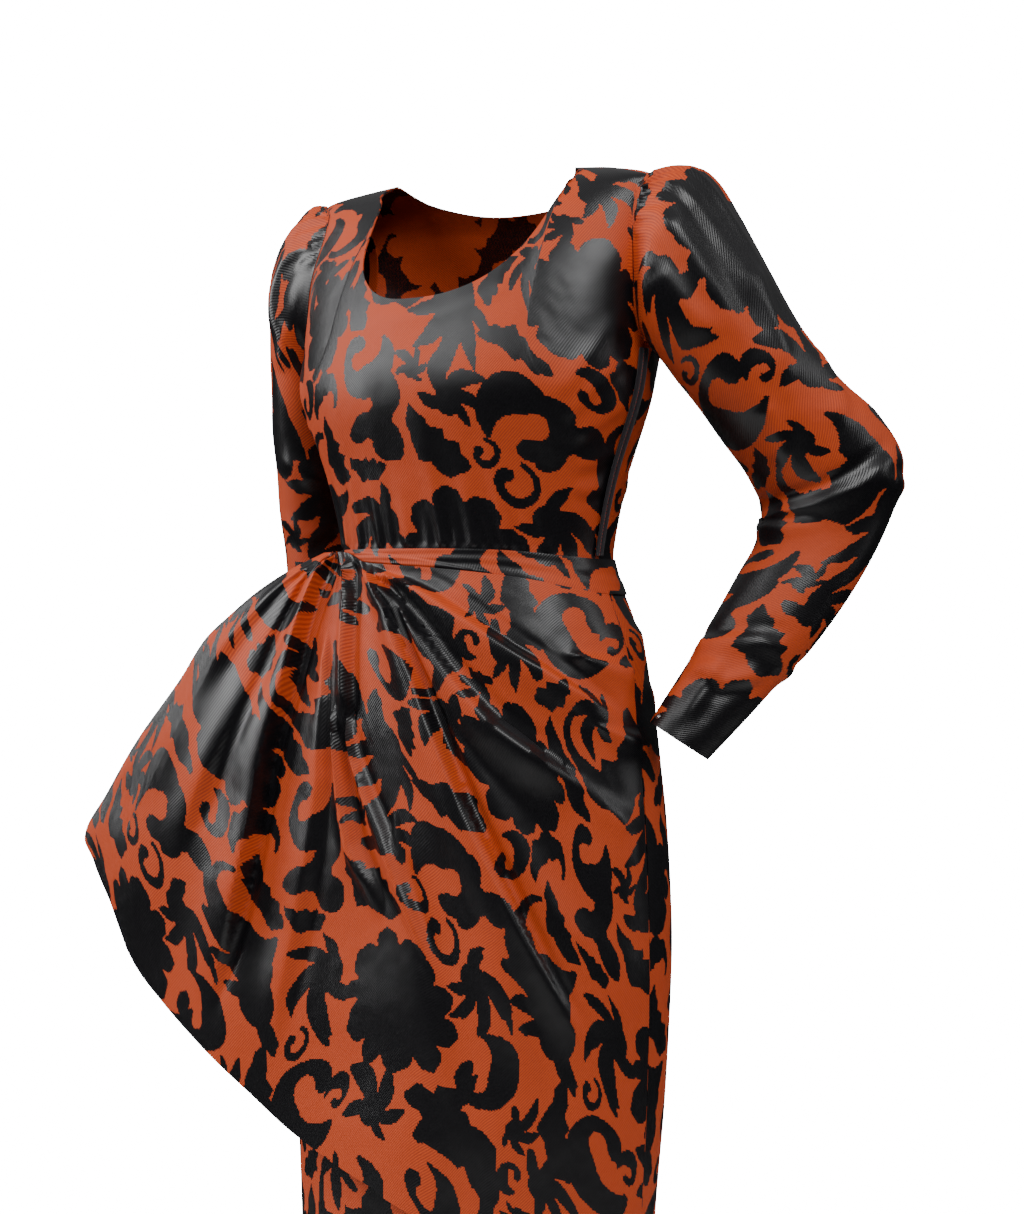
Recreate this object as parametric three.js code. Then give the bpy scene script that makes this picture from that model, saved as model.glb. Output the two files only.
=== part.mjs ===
// A long-sleeved dinner dress in its worn form, held hollow.
// Millimetres, +Z up. The front faces -Y and the wearer's left is +X.
// The origin lies midway between the two neck points, at shoulder height.
import * as THREE from 'three';

// ---- driving sizes ----
const WALL = 2;             // cloth thickness
const SEAM = 0.3;           // gap between pieces at a seam
const ARM_SEAM = 1.2;       // gap between a sleeve head and the armhole
const SQUARE = 2.25;        // how square the body's sections are (2 is an ellipse)
// How far the neckline reaches at the shoulder towards the wearer's left and right: the body
// turns a little to the left above the waist.
const NECK = { left: 122, right: 100 };
const SHOULDER_Z = -13;     // the shoulder point's height
const NECK_SHARE = 0.6;     // part of a panel's half width that ends on the neckline
const NECKLINE = { front: { depth: 126, power: 2.5 }, back: { depth: 30, power: 2.1 } };
// The armholes' middle height, half height, and reach to the front (left and right) and back.
const ARMHOLE = { z: -89, high: 76, left: 26, right: 52, back: 46 };
const SASH_OUT = 1;         // how far the sash stands off the body's sections
const DRAPE_GAP = 1.6;      // clearance between the skirt and the drape on it
const SEAT_GAP = 2.8;       // the same at its end on the right side seam
const KNOT_OUT = 2.2;       // how much more it stands off where it lies on the sash
const HEM = -1100;          // hem of the skirt

// ---- the worn form, one horizontal section a row ----
// half: half width; front, back: reach from the middle line, which lies at y = mid
const FORM = [
  { z: 0, half: 105, front: 3, back: 3, mid: 8 },
  { z: -4, half: 146, front: 16, back: 17, mid: 8 },
  { z: -13, half: 186, front: 34, back: 36, mid: 8 },
  { z: -26, half: 190, front: 51, back: 53, mid: 8 },
  { z: -44, half: 189, front: 68, back: 70, mid: 8 },
  { z: -100, half: 188, front: 104, back: 98, mid: 8 },
  { z: -165, half: 184, front: 124, back: 103, mid: 4 },
  { z: -215, half: 179, front: 128, back: 104, mid: 0 },
  { z: -290, half: 152, front: 111, back: 98, mid: 0 },
  { z: -356, half: 137, front: 99, back: 92, mid: 0 },
  { z: -374, half: 138, front: 100, back: 93, mid: 0 },
  { z: -400, half: 149, front: 106, back: 101, mid: 0 },
  { z: -446, half: 166, front: 114, back: 113, mid: 0 },
  { z: -500, half: 177, front: 119, back: 119, mid: 0 },
  { z: -560, half: 184, front: 121, back: 124, mid: 0 },
  { z: -668, half: 190, front: 122, back: 130, mid: 0 },
  { z: -740, half: 192, front: 122, back: 131, mid: 0 },
  { z: -860, half: 189, front: 123, back: 118, mid: 0 },
  { z: -986, half: 182, front: 124, back: 98, mid: 0 },
  { z: -1100, half: 178, front: 122, back: 90, mid: 0 },
];

// The waist seam and the sash's lower edge round the body, by angle from the front
// (90 is the left side, 180 the back, 270 the right side).
const WAIST = [
  { angle: -90, seam: -357, low: -368 },
  { angle: -30, seam: -356, low: -367 },
  { angle: 30, seam: -358, low: -379 },
  { angle: 90, seam: -366, low: -397 },
  { angle: 180, seam: -362, low: -390 },
  { angle: 270, seam: -357, low: -368 },
];

// The wing that the drape makes over the right hip: the tip of its fold at each height, the
// fold's radius, and the angle at which the drape leaves the body for it.
const WING = [
  { z: -350, x: -124, y: -56, round: 8, leave: -54 },
  { z: -358, x: -138, y: -65, round: 8, leave: -51 },
  { z: -372, x: -164, y: -78, round: 10, leave: -45 },
  { z: -393, x: -193, y: -93, round: 12, leave: -36 },
  { z: -417, x: -219, y: -105, round: 14, leave: -30 },
  { z: -440, x: -241, y: -116, round: 15, leave: -25 },
  { z: -478, x: -265, y: -126, round: 17, leave: -19 },
  { z: -535, x: -304, y: -140, round: 20, leave: -12 },
  { z: -592, x: -342, y: -148, round: 24, leave: -7 },
  { z: -626, x: -364, y: -153, round: 26, leave: -5 },
  { z: -660, x: -365, y: -153, round: 26, leave: -5 },
  { z: -1100, x: -365, y: -153, round: 26, leave: -5 },
];

// The drape across its cloth: s runs from the left side seam (0) over the front to the tip
// and back to the right side seam (1). hem is a height.
const FRONT_END = 0.5;
const TIP_START = 0.72;
const TIP_END = 0.82;
const DRAPE_EDGE = [
  { s: 0, hem: -1078 },
  { s: 0.15, hem: -1062 },
  { s: 0.3, hem: -1025 },
  { s: 0.41, hem: -972 },
  { s: 0.5, hem: -938 },
  { s: 0.56, hem: -900 },
  { s: 0.6, hem: -861 },
  { s: 0.64, hem: -822 },
  { s: 0.67, hem: -788 },
  { s: 0.695, hem: -748 },
  { s: 0.712, hem: -690 },
  { s: 0.727, hem: -658 },
  { s: 0.75, hem: -641 },
  { s: 0.775, hem: -634 },
  { s: 0.82, hem: -636 },
  { s: 0.9, hem: -660 },
  { s: 1, hem: -700 },
];

// The drape's largest folds. Each is a rounded ridge along a line on the cloth (s and height),
// with its height and its width towards the upper or left side (near) and the other side (far).
const FOLDS = [
  { high: 8, near: 9, far: 26, line: [[0.39, -396], [0.345, -417], [0.295, -436], [0.242, -462],
    [0.177, -489], [0.125, -511], [0.02, -550]] },
  { high: 7, near: 9, far: 24, line: [[0.39, -440], [0.362, -472], [0.328, -500], [0.3, -530],
    [0.27, -549], [0.2, -556]] },
  { high: 7, near: 16, far: 26, line: [[0.385, -375], [0.388, -469], [0.37, -540], [0.357, -590],
    [0.325, -654], [0.295, -696], [0.263, -732], [0.182, -806], [0.058, -844]] },
  { high: 8, near: 12, far: 20, line: [[0.435, -366], [0.46, -404], [0.485, -470], [0.507, -524],
    [0.525, -589], [0.52, -650]] },
  { high: 8, near: 26, far: 34, line: [[0.6, -366], [0.59, -400], [0.573, -436], [0.58, -490],
    [0.588, -550], [0.593, -641], [0.608, -700], [0.64, -814]] },
];
const MOST_FOLD = 10;
const FOLD_ENDS = { start: -0.05, full: 0.18, fades: 0.7 };  // as shares of a fold's line
const FAN = 0.6;            // how much the rows sink towards the left side; 1 is not at all
const FANNED = 0.4;         // where on s that ends
const PLEATS = { from: 0.4, to: 0.64, count: 7, high: 3, fade: 26 };

// Where the drape starts at the left side, how its top edge crosses from under the sash to over
// it at the knot (s), the heights between which it clears the sash, and that edge's own drop.
const DRAPE_START = 88;
const KNOT = { angle: -60, from: 0.38, to: 0.44, low: -378, high: -366 };
const KNOT_EDGE = { from: 0.4, to: 0.46, drop: 0.5 };

// The wing's curves: how far they keep their directions (of their reach), how far the tip's own
// curve goes beyond it and starts before it (of its radius), and the way off the side seam.
const PULL = 0.35;
const TIP = { beyond: 0.3, before: 1.3 };
const SEAT_WAY = [-0.9, -0.25];

// A sleeve, one section a row: its outer and inner edge in the arm's plane (across the body and
// height), the plane's distance away from the middle, half its depth, and the turn of that depth.
const LEFT_PLANE = 35;
const LEFT_SLEEVE = [
  { ox: 203, oz: -9, ix: 164, iz: -176, away: -100, deep: 54, skew: 4 },
  { ox: 236, oz: -48, ix: 174, iz: -188, away: -98, deep: 58, skew: 12 },
  { ox: 268, oz: -101, ix: 185, iz: -204, away: -92, deep: 58, skew: 20 },
  { ox: 300, oz: -155, ix: 203, iz: -227, away: -84, deep: 56, skew: 26 },
  { ox: 337, oz: -201, ix: 227, iz: -257, away: -72, deep: 55, skew: 30 },
  { ox: 373, oz: -231, ix: 249, iz: -286, away: -62, deep: 55, skew: 33 },
  { ox: 396, oz: -277, ix: 266, iz: -320, away: -50, deep: 54, skew: 35 },
  { ox: 383, oz: -330, ix: 262, iz: -345, away: -52, deep: 50, skew: 35 },
  { ox: 347, oz: -393, ix: 241, iz: -379, away: -66, deep: 44, skew: 35 },
  { ox: 307, oz: -449, ix: 216, iz: -420, away: -82, deep: 38, skew: 35 },
  { ox: 268, oz: -487, ix: 194, iz: -458, away: -94, deep: 32, skew: 35 },
  { ox: 210, oz: -548, ix: 158, iz: -514, away: -108, deep: 26, skew: 35 },
];
const RIGHT_PLANE = 0;
const RIGHT_SLEEVE = [
  { ox: 205, oz: -15, ix: 190, iz: -176, away: 10, deep: 52, skew: 0 },
  { ox: 238, oz: -50, ix: 191, iz: -196, away: 14, deep: 54, skew: 0 },
  { ox: 252, oz: -97, ix: 187, iz: -216, away: 20, deep: 54, skew: 0 },
  { ox: 261, oz: -170, ix: 185, iz: -240, away: 28, deep: 52, skew: 0 },
  { ox: 269, oz: -250, ix: 185, iz: -280, away: 40, deep: 50, skew: 0 },
  { ox: 273, oz: -350, ix: 189, iz: -356, away: 57, deep: 46, skew: 0 },
  { ox: 264, oz: -450, ix: 194, iz: -450, away: 64, deep: 41, skew: 0 },
  { ox: 258, oz: -520, ix: 198, iz: -520, away: 66, deep: 35, skew: 0 },
  { ox: 255, oz: -578, ix: 201, iz: -578, away: 66, deep: 30, skew: 0 },
];

// ---- small maths ----
const { degToRad, clamp, lerp, smoothstep } = THREE.MathUtils;

function read(table, key, column, at) {
  // A smooth value of one column, by the key column, which only rises or only falls.
  const turn = table[0][key] < table[table.length - 1][key] ? 1 : -1;
  const first = table[0];
  const last = table[table.length - 1];
  if ((at - first[key]) * turn <= 0) return first[column];
  if ((at - last[key]) * turn >= 0) return last[column];
  let i = 0;
  while ((at - table[i + 1][key]) * turn > 0) i += 1;
  const slope = (a, b) => (table[b][column] - table[a][column]) / (table[b][key] - table[a][key]);
  const span = table[i + 1][key] - table[i][key];
  const t = (at - table[i][key]) / span;
  const m0 = slope(Math.max(i - 1, 0), i + 1) * span;
  const m1 = slope(i, Math.min(i + 2, table.length - 1)) * span;
  const a = table[i][column];
  const b = table[i + 1][column];
  return a + t * (m0 + t * (3 * (b - a) - 2 * m0 - m1 + t * (2 * (a - b) + m0 + m1)));
}

const bend = (value) => Math.sign(value) * Math.abs(value) ** (2 / SQUARE);

function onForm(angle, z, out = 0) {
  // A point of the worn form at an angle from the front, moved out by a distance.
  const sine = bend(Math.sin(degToRad(angle)));
  const cosine = bend(Math.cos(degToRad(angle)));
  const reach = read(FORM, 'z', cosine > 0 ? 'front' : 'back', z) + out;
  const x = (read(FORM, 'z', 'half', z) + out) * sine;
  return new THREE.Vector3(x, read(FORM, 'z', 'mid', z) - reach * cosine, z);
}

const hump = (distance, width) => Math.exp(-((distance / width) ** 2));

// ---- the cloth wall ----
function wall(name, look, rows, surface, { closed = false, fix = (point) => point } = {}) {
  // A wall of cloth. rows: { v, n } gives each row's place and number of steps across;
  // surface(u, v) is its outer face, u and v from 0 to 1; fix trims a point at a seam.
  const step = 1e-3;
  const place = (u, v) => {
    const wrap = (value) => (closed ? ((value % 1) + 1) % 1 : clamp(value, 0, 1));
    const along = surface(wrap(u + step), v).sub(surface(wrap(u - step), v));
    const down = surface(u, clamp(v + step, 0, 1)).sub(surface(u, clamp(v - step, 0, 1)));
    const normal = along.cross(down).normalize();
    const outer = surface(wrap(u), v);
    const inner = outer.clone().addScaledVector(normal, -WALL);
    return [fix(outer, u, v), fix(inner, u, v)];
  };
  const points = [];
  const index = [];
  const loops = rows.map(({ v, n }) => {
    const count = closed ? n : n + 1;
    return Array.from({ length: count }, (_, k) => {
      points.push(...place(k / n, v));
      return { u: k / n, outer: points.length - 2, inner: points.length - 1 };
    });
  });
  const face = (a, b, c) => index.push(a, b, c);
  const bridge = (upper, lower, side, flip) => {
    const at = (row, k) => row[k % row.length];
    const place01 = (row, k) => (k >= row.length ? 1 : row[k].u);
    const ends = [upper, lower].map((row) => (closed ? row.length : row.length - 1));
    let i = 0;
    let j = 0;
    while (i < ends[0] || j < ends[1]) {
      const goUpper = j >= ends[1]
        || (i < ends[0] && place01(upper, i + 1) <= place01(lower, j + 1) + 1e-9);
      const a = at(upper, i)[side];
      const b = at(lower, j)[side];
      const c = goUpper ? at(upper, i + 1)[side] : at(lower, j + 1)[side];
      if (flip) face(a, c, b);
      else face(a, b, c);
      if (goUpper) i += 1;
      else j += 1;
    }
  };
  loops.slice(1).forEach((row, k) => {
    bridge(loops[k], row, 'outer', true);
    bridge(loops[k], row, 'inner', false);
  });
  const rim = (chain, flip) => chain.slice(1).forEach((next, k) => {
    const here = chain[k];
    const quad = [here.outer, next.outer, next.inner, here.inner];
    if (flip) quad.reverse();
    face(quad[0], quad[1], quad[2]);
    face(quad[0], quad[2], quad[3]);
  });
  const shut = (row) => (closed ? [...row, row[0]] : row);
  rim(shut(loops[0]), true);
  rim(shut(loops[loops.length - 1]), false);
  if (!closed) {
    rim(loops.map((row) => row[0]), false);
    rim(loops.map((row) => row[row.length - 1]), true);
  }
  const geometry = new THREE.BufferGeometry();
  geometry.setAttribute('position', new THREE.Float32BufferAttribute(
    points.flatMap((point) => point.toArray()), 3));
  geometry.setIndex(index);
  geometry.computeVertexNormals();
  const mesh = new THREE.Mesh(geometry, look);
  mesh.name = name;
  return mesh;
}

const rowsOf = (places, counts) => places.map((v, k) => ({ v, n: counts[k] }));

// ---- cloth looks ----
const satin = () => new THREE.MeshStandardMaterial({ color: 0x9a4424, roughness: 0.45 });
const blackSatin = () => new THREE.MeshStandardMaterial({ color: 0x1c1a1e, roughness: 0.35 });
const metal = () => new THREE.MeshStandardMaterial(
  { color: 0x8a8a8c, roughness: 0.3, metalness: 1 });

// ---- bodice ----
const BODICE_ROWS = [0, 0.05, 0.12, 0.22, 0.34, 0.46, 0.57, 0.66, 0.74, 0.81, 0.87, 0.92, 0.96, 1];
const GATHERS = { from: -63, to: 50, count: 10, high: 2.6, fade: 48 };
// Heights between which a panel's columns turn from following the armhole to following the waist.
const PANEL_TURN = { low: -270, high: -150 };

function gather(angle, above) {
  // How far the gathers at the front waist stand out, at a height above the seam.
  const share = (angle - GATHERS.from) / (GATHERS.to - GATHERS.from);
  if (share <= 0 || share >= 1) return 0;
  const edge = Math.sin(Math.PI * share) ** 0.5;
  const wave = 0.5 - 0.5 * Math.cos(2 * Math.PI * GATHERS.count * share);
  return GATHERS.high * edge * wave * hump(above, GATHERS.fade);
}

function armholeAngle(z, side, arm) {
  // The angle on the form at which the panel ends in the armhole; 90 below and above it.
  const height = (z - ARMHOLE.z) / ARMHOLE.high;
  if (Math.abs(height) >= 1) return 90;
  const reach = ARMHOLE[side === 'back' ? side : arm] * Math.sqrt(1 - height ** 2);
  const share = clamp(reach / read(FORM, 'z', side, z), 0, 1);
  return 90 - THREE.MathUtils.radToDeg(Math.asin(share ** (SQUARE / 2)));
}

function ridge(x) {
  // The height of the shoulder seam at a distance from the middle.
  let [low, high] = [SHOULDER_Z, 0];
  for (let k = 0; k < 30; k += 1) {
    const middle = (low + high) / 2;
    if (read(FORM, 'z', 'half', middle) > x) low = middle;
    else high = middle;
  }
  return low;
}

const angleAt = (share) => THREE.MathUtils.radToDeg(Math.asin(clamp(share, 0, 1) ** (SQUARE / 2)));

function bodicePoint(side, u, v) {
  // Front or back bodice: u from the right edge (0) to the left (1), v from waist to top.
  const across = 2 * u - 1;
  const { depth, power } = NECKLINE[side];
  const shoulder = read(FORM, 'z', 'half', SHOULDER_Z);
  const turn = (Math.min(Math.abs(across) / NECK_SHARE, 1) * Math.PI) / 2;
  const beyond = Math.max((Math.abs(across) - NECK_SHARE) / (1 - NECK_SHARE), 0);
  const arm = across < 0 ? 'right' : 'left';
  const topX = NECK[arm] * Math.sin(turn) ** (2 / power) + (shoulder - NECK[arm]) * beyond;
  const topZ = beyond > 0 ? ridge(topX) : -depth * Math.cos(turn) ** (2 / power);
  const seam = read(WAIST, 'angle', 'seam', side === 'front' ? across * 90 : 180 - across * 90);
  const z = lerp(seam, topZ, v);
  const edge = Math.sin(degToRad(armholeAngle(z, side, arm))) ** (2 / SQUARE);
  const wide = Math.max(read(FORM, 'z', 'half', z), 1);
  const reach = (topX / shoulder) * edge * (z > SHOULDER_Z ? shoulder / wide : 1);
  const angle = Math.sign(across)
    * lerp(90 * Math.abs(across), angleAt(reach), smoothstep(z, PANEL_TURN.low, PANEL_TURN.high));
  if (side === 'back') return onForm(180 - angle, z);
  return onForm(angle, z, gather(angle, z - seam));
}

function bodice(name, side) {
  const counts = side === 'front'
    ? [60, 60, 60, 30, 30, 20, 20, 20, 20, 20, 20, 20, 20, 20]
    : [20, 20, 20, 20, 20, 20, 20, 20, 20, 20, 20, 20, 20, 20];
  const sign = side === 'front' ? -1 : 1;
  const keep = (point) => {
    // Seen from its own side, the panel stays half a seam short of the middle line.
    const limit = read(FORM, 'z', 'mid', point.z) + sign * SEAM / 2;
    point.y = sign < 0 ? Math.min(point.y, limit) : Math.max(point.y, limit);
    return point;
  };
  const face = (u, v) => bodicePoint(side, side === 'front' ? 1 - u : u, 1 - v);
  const rows = rowsOf(BODICE_ROWS.map((v) => 1 - v).reverse(), [...counts].reverse());
  return wall(name, satin(), rows, face, { fix: keep });
}

// ---- sleeves ----
const HEAD = { count: 12, reach: 78, high: 3, fade: 0.1, start: 0.02 };

function armholePoint(turn, arm) {
  // Round an armhole from its top (0) by the front (90), drawn on the left side.
  const height = Math.cos(degToRad(turn));
  const z = ARMHOLE.z + ARMHOLE.high * height;
  const side = Math.sin(degToRad(turn)) >= 0 ? 'front' : 'back';
  const angle = armholeAngle(z, side, arm);
  const point = onForm(side === 'front' ? angle : 180 - angle, z);
  point.x += ARM_SEAM;
  return point;
}

function sleevePoint(table, plane, mirror, turn, v) {
  // turn: angle round the sleeve from its outer edge (0) by the front (90); v: 0 head, 1 cuff.
  const cosP = Math.cos(degToRad(plane));
  const sinP = Math.sin(degToRad(plane));
  const solid = (across, z, away) => new THREE.Vector3(
    across * cosP - away * sinP, across * sinP + away * cosP, z);
  const ring = (row) => {
    const outer = solid(row.ox, row.oz, row.away);
    const inner = solid(row.ix, row.iz, row.away);
    const skew = degToRad(row.skew);
    const deep = new THREE.Vector3(Math.sin(skew), -Math.cos(skew), 0).multiplyScalar(row.deep);
    const middle = outer.clone().add(inner).multiplyScalar(0.5);
    return middle.clone()
      .addScaledVector(outer.sub(middle), Math.cos(degToRad(turn)))
      .addScaledVector(deep, Math.sin(degToRad(turn)));
  };
  const stations = [armholePoint(turn, mirror ? 'right' : 'left'), ...table.map(ring)];
  const last = stations.length - 1;
  const t = v * last;
  const i = Math.min(Math.floor(t), last - 1);
  const [a, b, c, d] = [Math.max(i - 1, 0), i, i + 1, Math.min(i + 2, last)].map((k) => stations[k]);
  const f = t - i;
  const point = new THREE.Vector3();
  const weights = [
    -0.5 * f + f ** 2 - 0.5 * f ** 3,
    1 - 2.5 * f ** 2 + 1.5 * f ** 3,
    0.5 * f + 2 * f ** 2 - 1.5 * f ** 3,
    -0.5 * f ** 2 + 0.5 * f ** 3,
  ];
  [a, b, c, d].forEach((station, k) => point.addScaledVector(station, weights[k]));
  const away = Math.abs(((turn + 180) % 360) - 180) / HEAD.reach;
  if (away < 1) {
    const wave = 0.5 - 0.5 * Math.cos(Math.PI * HEAD.count * (away + 1));
    const rise = smoothstep(v, 0, HEAD.start) * hump(v, HEAD.fade) * (1 - away ** 2);
    const outward = new THREE.Vector3(0, point.y - read(FORM, 'z', 'mid', ARMHOLE.z),
      point.z - ARMHOLE.z).normalize();
    point.addScaledVector(outward, HEAD.high * wave * rise);
  }
  if (mirror) point.x *= -1;
  return point;
}

function sleeve(name, table, plane, mirror) {
  const places = [0, 0.02, 0.045, 0.075, 0.11, 0.16, 0.22, 0.28, 0.34, 0.4, 0.45, 0.5, 0.55, 0.6,
    0.65, 0.7, 0.76, 0.82, 0.88, 0.94, 1];
  const counts = places.map((v) => (v < 0.08 ? 48 : 16));
  const face = (u, v) => sleevePoint(table, plane, mirror, (mirror ? 1 - u : u) * 360, v);
  return wall(name, satin(), rowsOf(places, counts), face, { closed: true });
}

// ---- waist sash ----
function sash() {
  const folds = (v) => 0.9 * Math.sin(Math.PI * v) + 0.7 * Math.sin(3 * Math.PI * v) ** 2;
  const face = (u, v) => {
    const angle = 270 - 360 * u;
    const top = read(WAIST, 'angle', 'seam', angle) - SEAM;
    const low = read(WAIST, 'angle', 'low', angle);
    return onForm(angle, lerp(top, low, v), SASH_OUT + folds(v));
  };
  const level = (point, u, v) => {
    // The cut edges are level, so the wall's inner side doesn't reach past the seams.
    const edge = face(u, v).z;
    if (v === 0) point.z = Math.min(point.z, edge);
    if (v === 1) point.z = Math.max(point.z, edge);
    return point;
  };
  return wall('waist_sash', satin(), rowsOf([0, 0.2, 0.4, 0.6, 0.8, 1], [120, 60, 40, 40, 40, 40]),
    face, { closed: true, fix: level });
}

// ---- skirt ----
function skirt(name, side) {
  const face = (u, v) => {
    const angle = (side === 'front' ? 90 : 270) - 180 * u;
    const top = read(WAIST, 'angle', 'low', angle) - SEAM;
    return onForm(angle, lerp(top, HEM, v));
  };
  const sign = side === 'front' ? -1 : 1;
  const keep = (point) => {
    const limit = sign * SEAM / 2;
    point.y = sign < 0 ? Math.min(point.y, limit) : Math.max(point.y, limit);
    return point;
  };
  const places = [0, 0.06, 0.13, 0.22, 0.33, 0.46, 0.6, 0.74, 0.87, 1];
  return wall(name, satin(), rowsOf(places, places.map(() => 20)), face, { fix: keep });
}

// ---- drape ----
function bezier(points, t) {
  const w = [(1 - t) ** 3, 3 * t * (1 - t) ** 2, 3 * t * t * (1 - t), t ** 3];
  const out = new THREE.Vector2();
  points.forEach((point, k) => out.addScaledVector(point, w[k]));
  return out;
}

function drapeSection(s, z) {
  // The drape's horizontal section, with no folds.
  const over = smoothstep(s, KNOT.from, KNOT.to) * smoothstep(z, KNOT.low, KNOT.high) * KNOT_OUT;
  const out = DRAPE_GAP + WALL + over;
  const leave = read(WING, 'z', 'leave', z);
  if (s <= FRONT_END) return onForm(lerp(DRAPE_START, leave, s / FRONT_END), z, out);
  const flat = (point) => new THREE.Vector2(point.x, point.y);
  const start = flat(onForm(leave, z, out));
  const before = flat(onForm(leave + 1, z, out));
  const seat = flat(onForm(-90, z, SEAT_GAP + over));
  const tip = new THREE.Vector2(read(WING, 'z', 'x', z), read(WING, 'z', 'y', z));
  const round = read(WING, 'z', 'round', z);
  const ahead = tip.clone().sub(start);
  const behind = tip.clone().sub(seat);
  const reachF = ahead.length() * PULL;
  const reachB = behind.length() * PULL;
  ahead.normalize();
  behind.normalize();
  tip.addScaledVector(ahead, TIP.beyond * round).addScaledVector(behind, TIP.beyond * round);
  const tipFront = tip.clone().addScaledVector(ahead, -TIP.before * round);
  const tipBack = tip.clone().addScaledVector(behind, -TIP.before * round);
  const leaving = start.clone().sub(before).normalize();
  let point;
  if (s <= TIP_START) {
    point = bezier([start, start.clone().addScaledVector(leaving, reachF),
      tipFront.clone().addScaledVector(ahead, -reachF), tipFront],
    (s - FRONT_END) / (TIP_START - FRONT_END));
  } else if (s <= TIP_END) {
    point = bezier([tipFront, tipFront.clone().addScaledVector(ahead, round),
      tipBack.clone().addScaledVector(behind, round), tipBack],
    (s - TIP_START) / (TIP_END - TIP_START));
  } else {
    point = bezier([tipBack, tipBack.clone().addScaledVector(behind, -reachB),
      seat.clone().add(new THREE.Vector2(...SEAT_WAY).multiplyScalar(reachB)), seat],
    (s - TIP_END) / (1 - TIP_END));
  }
  return new THREE.Vector3(point.x, point.y, z);
}

function drapeTop(s) {
  // Under the sash in front and on the left; over it from the knot to the right side.
  const angle = s < FRONT_END ? lerp(DRAPE_START, WING[1].leave, s / FRONT_END) : KNOT.angle;
  const under = read(WAIST, 'angle', 'low', angle);
  const over = read(WAIST, 'angle', 'seam', angle);
  return lerp(under, over, smoothstep(s, KNOT_EDGE.from, KNOT_EDGE.to)) - KNOT_EDGE.drop;
}

function drapeBase(s, row) {
  // Rows fan out from the knot: they sink faster towards the left side.
  const v = row ** lerp(FAN, 1, smoothstep(s, 0, FANNED));
  return drapeSection(s, lerp(drapeTop(s), read(DRAPE_EDGE, 's', 'hem', s), v));
}

function ridgeHeight(fold, point) {
  // How far one fold lifts the cloth at a point: a hump across its line, tapered to its ends.
  let best = { gap: Infinity };
  fold.route.slice(1).forEach((end, k) => {
    const start = fold.route[k];
    const along = end.clone().sub(start);
    const t = clamp(point.clone().sub(start).dot(along) / along.lengthSq(), 0, 1);
    const away = point.clone().sub(start.clone().addScaledVector(along, t));
    const gap = away.length();
    if (gap < best.gap) {
      const side = along.x * away.z - along.z * away.x;
      best = { gap, side, share: (k + t) / (fold.route.length - 1) };
    }
  });
  const taper = smoothstep(best.share, FOLD_ENDS.start, FOLD_ENDS.full)
    * (1 - smoothstep(best.share, FOLD_ENDS.fades, 1));
  return fold.high * taper * hump(best.gap, best.side > 0 ? fold.near : fold.far);
}

const ROUTES = FOLDS.map((fold) => (
  { ...fold, route: fold.line.map(([s, z]) => drapeSection(s, z)) }));

function drapeSurface(s, row) {
  const step = 2e-3;
  const point = drapeBase(s, row);
  const along = drapeBase(Math.min(s + step, 1), row).sub(drapeBase(Math.max(s - step, 0), row));
  const down = drapeBase(s, Math.min(row + step, 1)).sub(drapeBase(s, Math.max(row - step, 0)));
  const normal = along.cross(down).normalize();
  const folds = s < TIP_START ? ROUTES.reduce((sum, fold) => sum + ridgeHeight(fold, point), 0) : 0;
  const share = clamp((s - PLEATS.from) / (PLEATS.to - PLEATS.from), 0, 1);
  const wave = 0.5 - 0.5 * Math.cos(2 * Math.PI * PLEATS.count * share);
  const pleats = PLEATS.high * wave * hump(drapeTop(s) - point.z, PLEATS.fade);
  return point.addScaledVector(normal, Math.min(folds, MOST_FOLD) + pleats);
}

function drape() {
  const places = [0, 0.01, 0.022, 0.037, 0.052, 0.075, 0.105, 0.125, 0.16, 0.21, 0.28, 0.36, 0.45,
    0.55, 0.65, 0.75, 0.87, 1];
  const counts = places.map((row) => (row < 0.06 ? 75 : 50));
  return wall('drape', satin(), rowsOf(places, counts), drapeSurface);
}

// ---- side placket and cuff fastener ----
const SNAP = { turn: 157.5, v: 0.985, radius: 3, thick: 1.5 };
const PLACKET = { angle: 89, turn: 5, out: 2.7 };

function placket() {
  // Its rows are at the heights of the bodice's own rows, so both walls bend alike.
  const face = (u, v) => {
    const z = lerp(read(WAIST, 'angle', 'seam', 90), SHOULDER_Z, v);
    return onForm(PLACKET.angle + PLACKET.turn * (0.5 - u), z, PLACKET.out);
  };
  const places = [0.546, 0.46, 0.34, 0.22, 0.12, 0.05, 0.012];
  const share = (v) => (v - places[0]) / (places[6] - places[0]);
  const along = (v) => lerp(places[0], places[6], v);
  return wall('side_placket', blackSatin(), rowsOf(places.map(share), places.map(() => 2)),
    (u, v) => face(u, along(v)));
}

function cuffSnap() {
  const at = (turn, v) => sleevePoint(LEFT_SLEEVE, LEFT_PLANE, false, turn, v);
  const { turn, v } = SNAP;
  const spot = at(turn, v);
  const along = at(turn + 2, v).sub(at(turn - 2, v));
  const down = at(turn, v + 0.01).sub(at(turn, v - 0.01));
  const normal = along.cross(down).normalize();
  const mesh = new THREE.Mesh(new THREE.CylinderGeometry(SNAP.radius, SNAP.radius, SNAP.thick, 16),
    metal());
  mesh.position.copy(spot).addScaledVector(normal, SEAM + SNAP.thick / 2);
  mesh.quaternion.setFromUnitVectors(new THREE.Vector3(0, 1, 0), normal);
  mesh.name = 'cuff_snap';
  return mesh;
}

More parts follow.
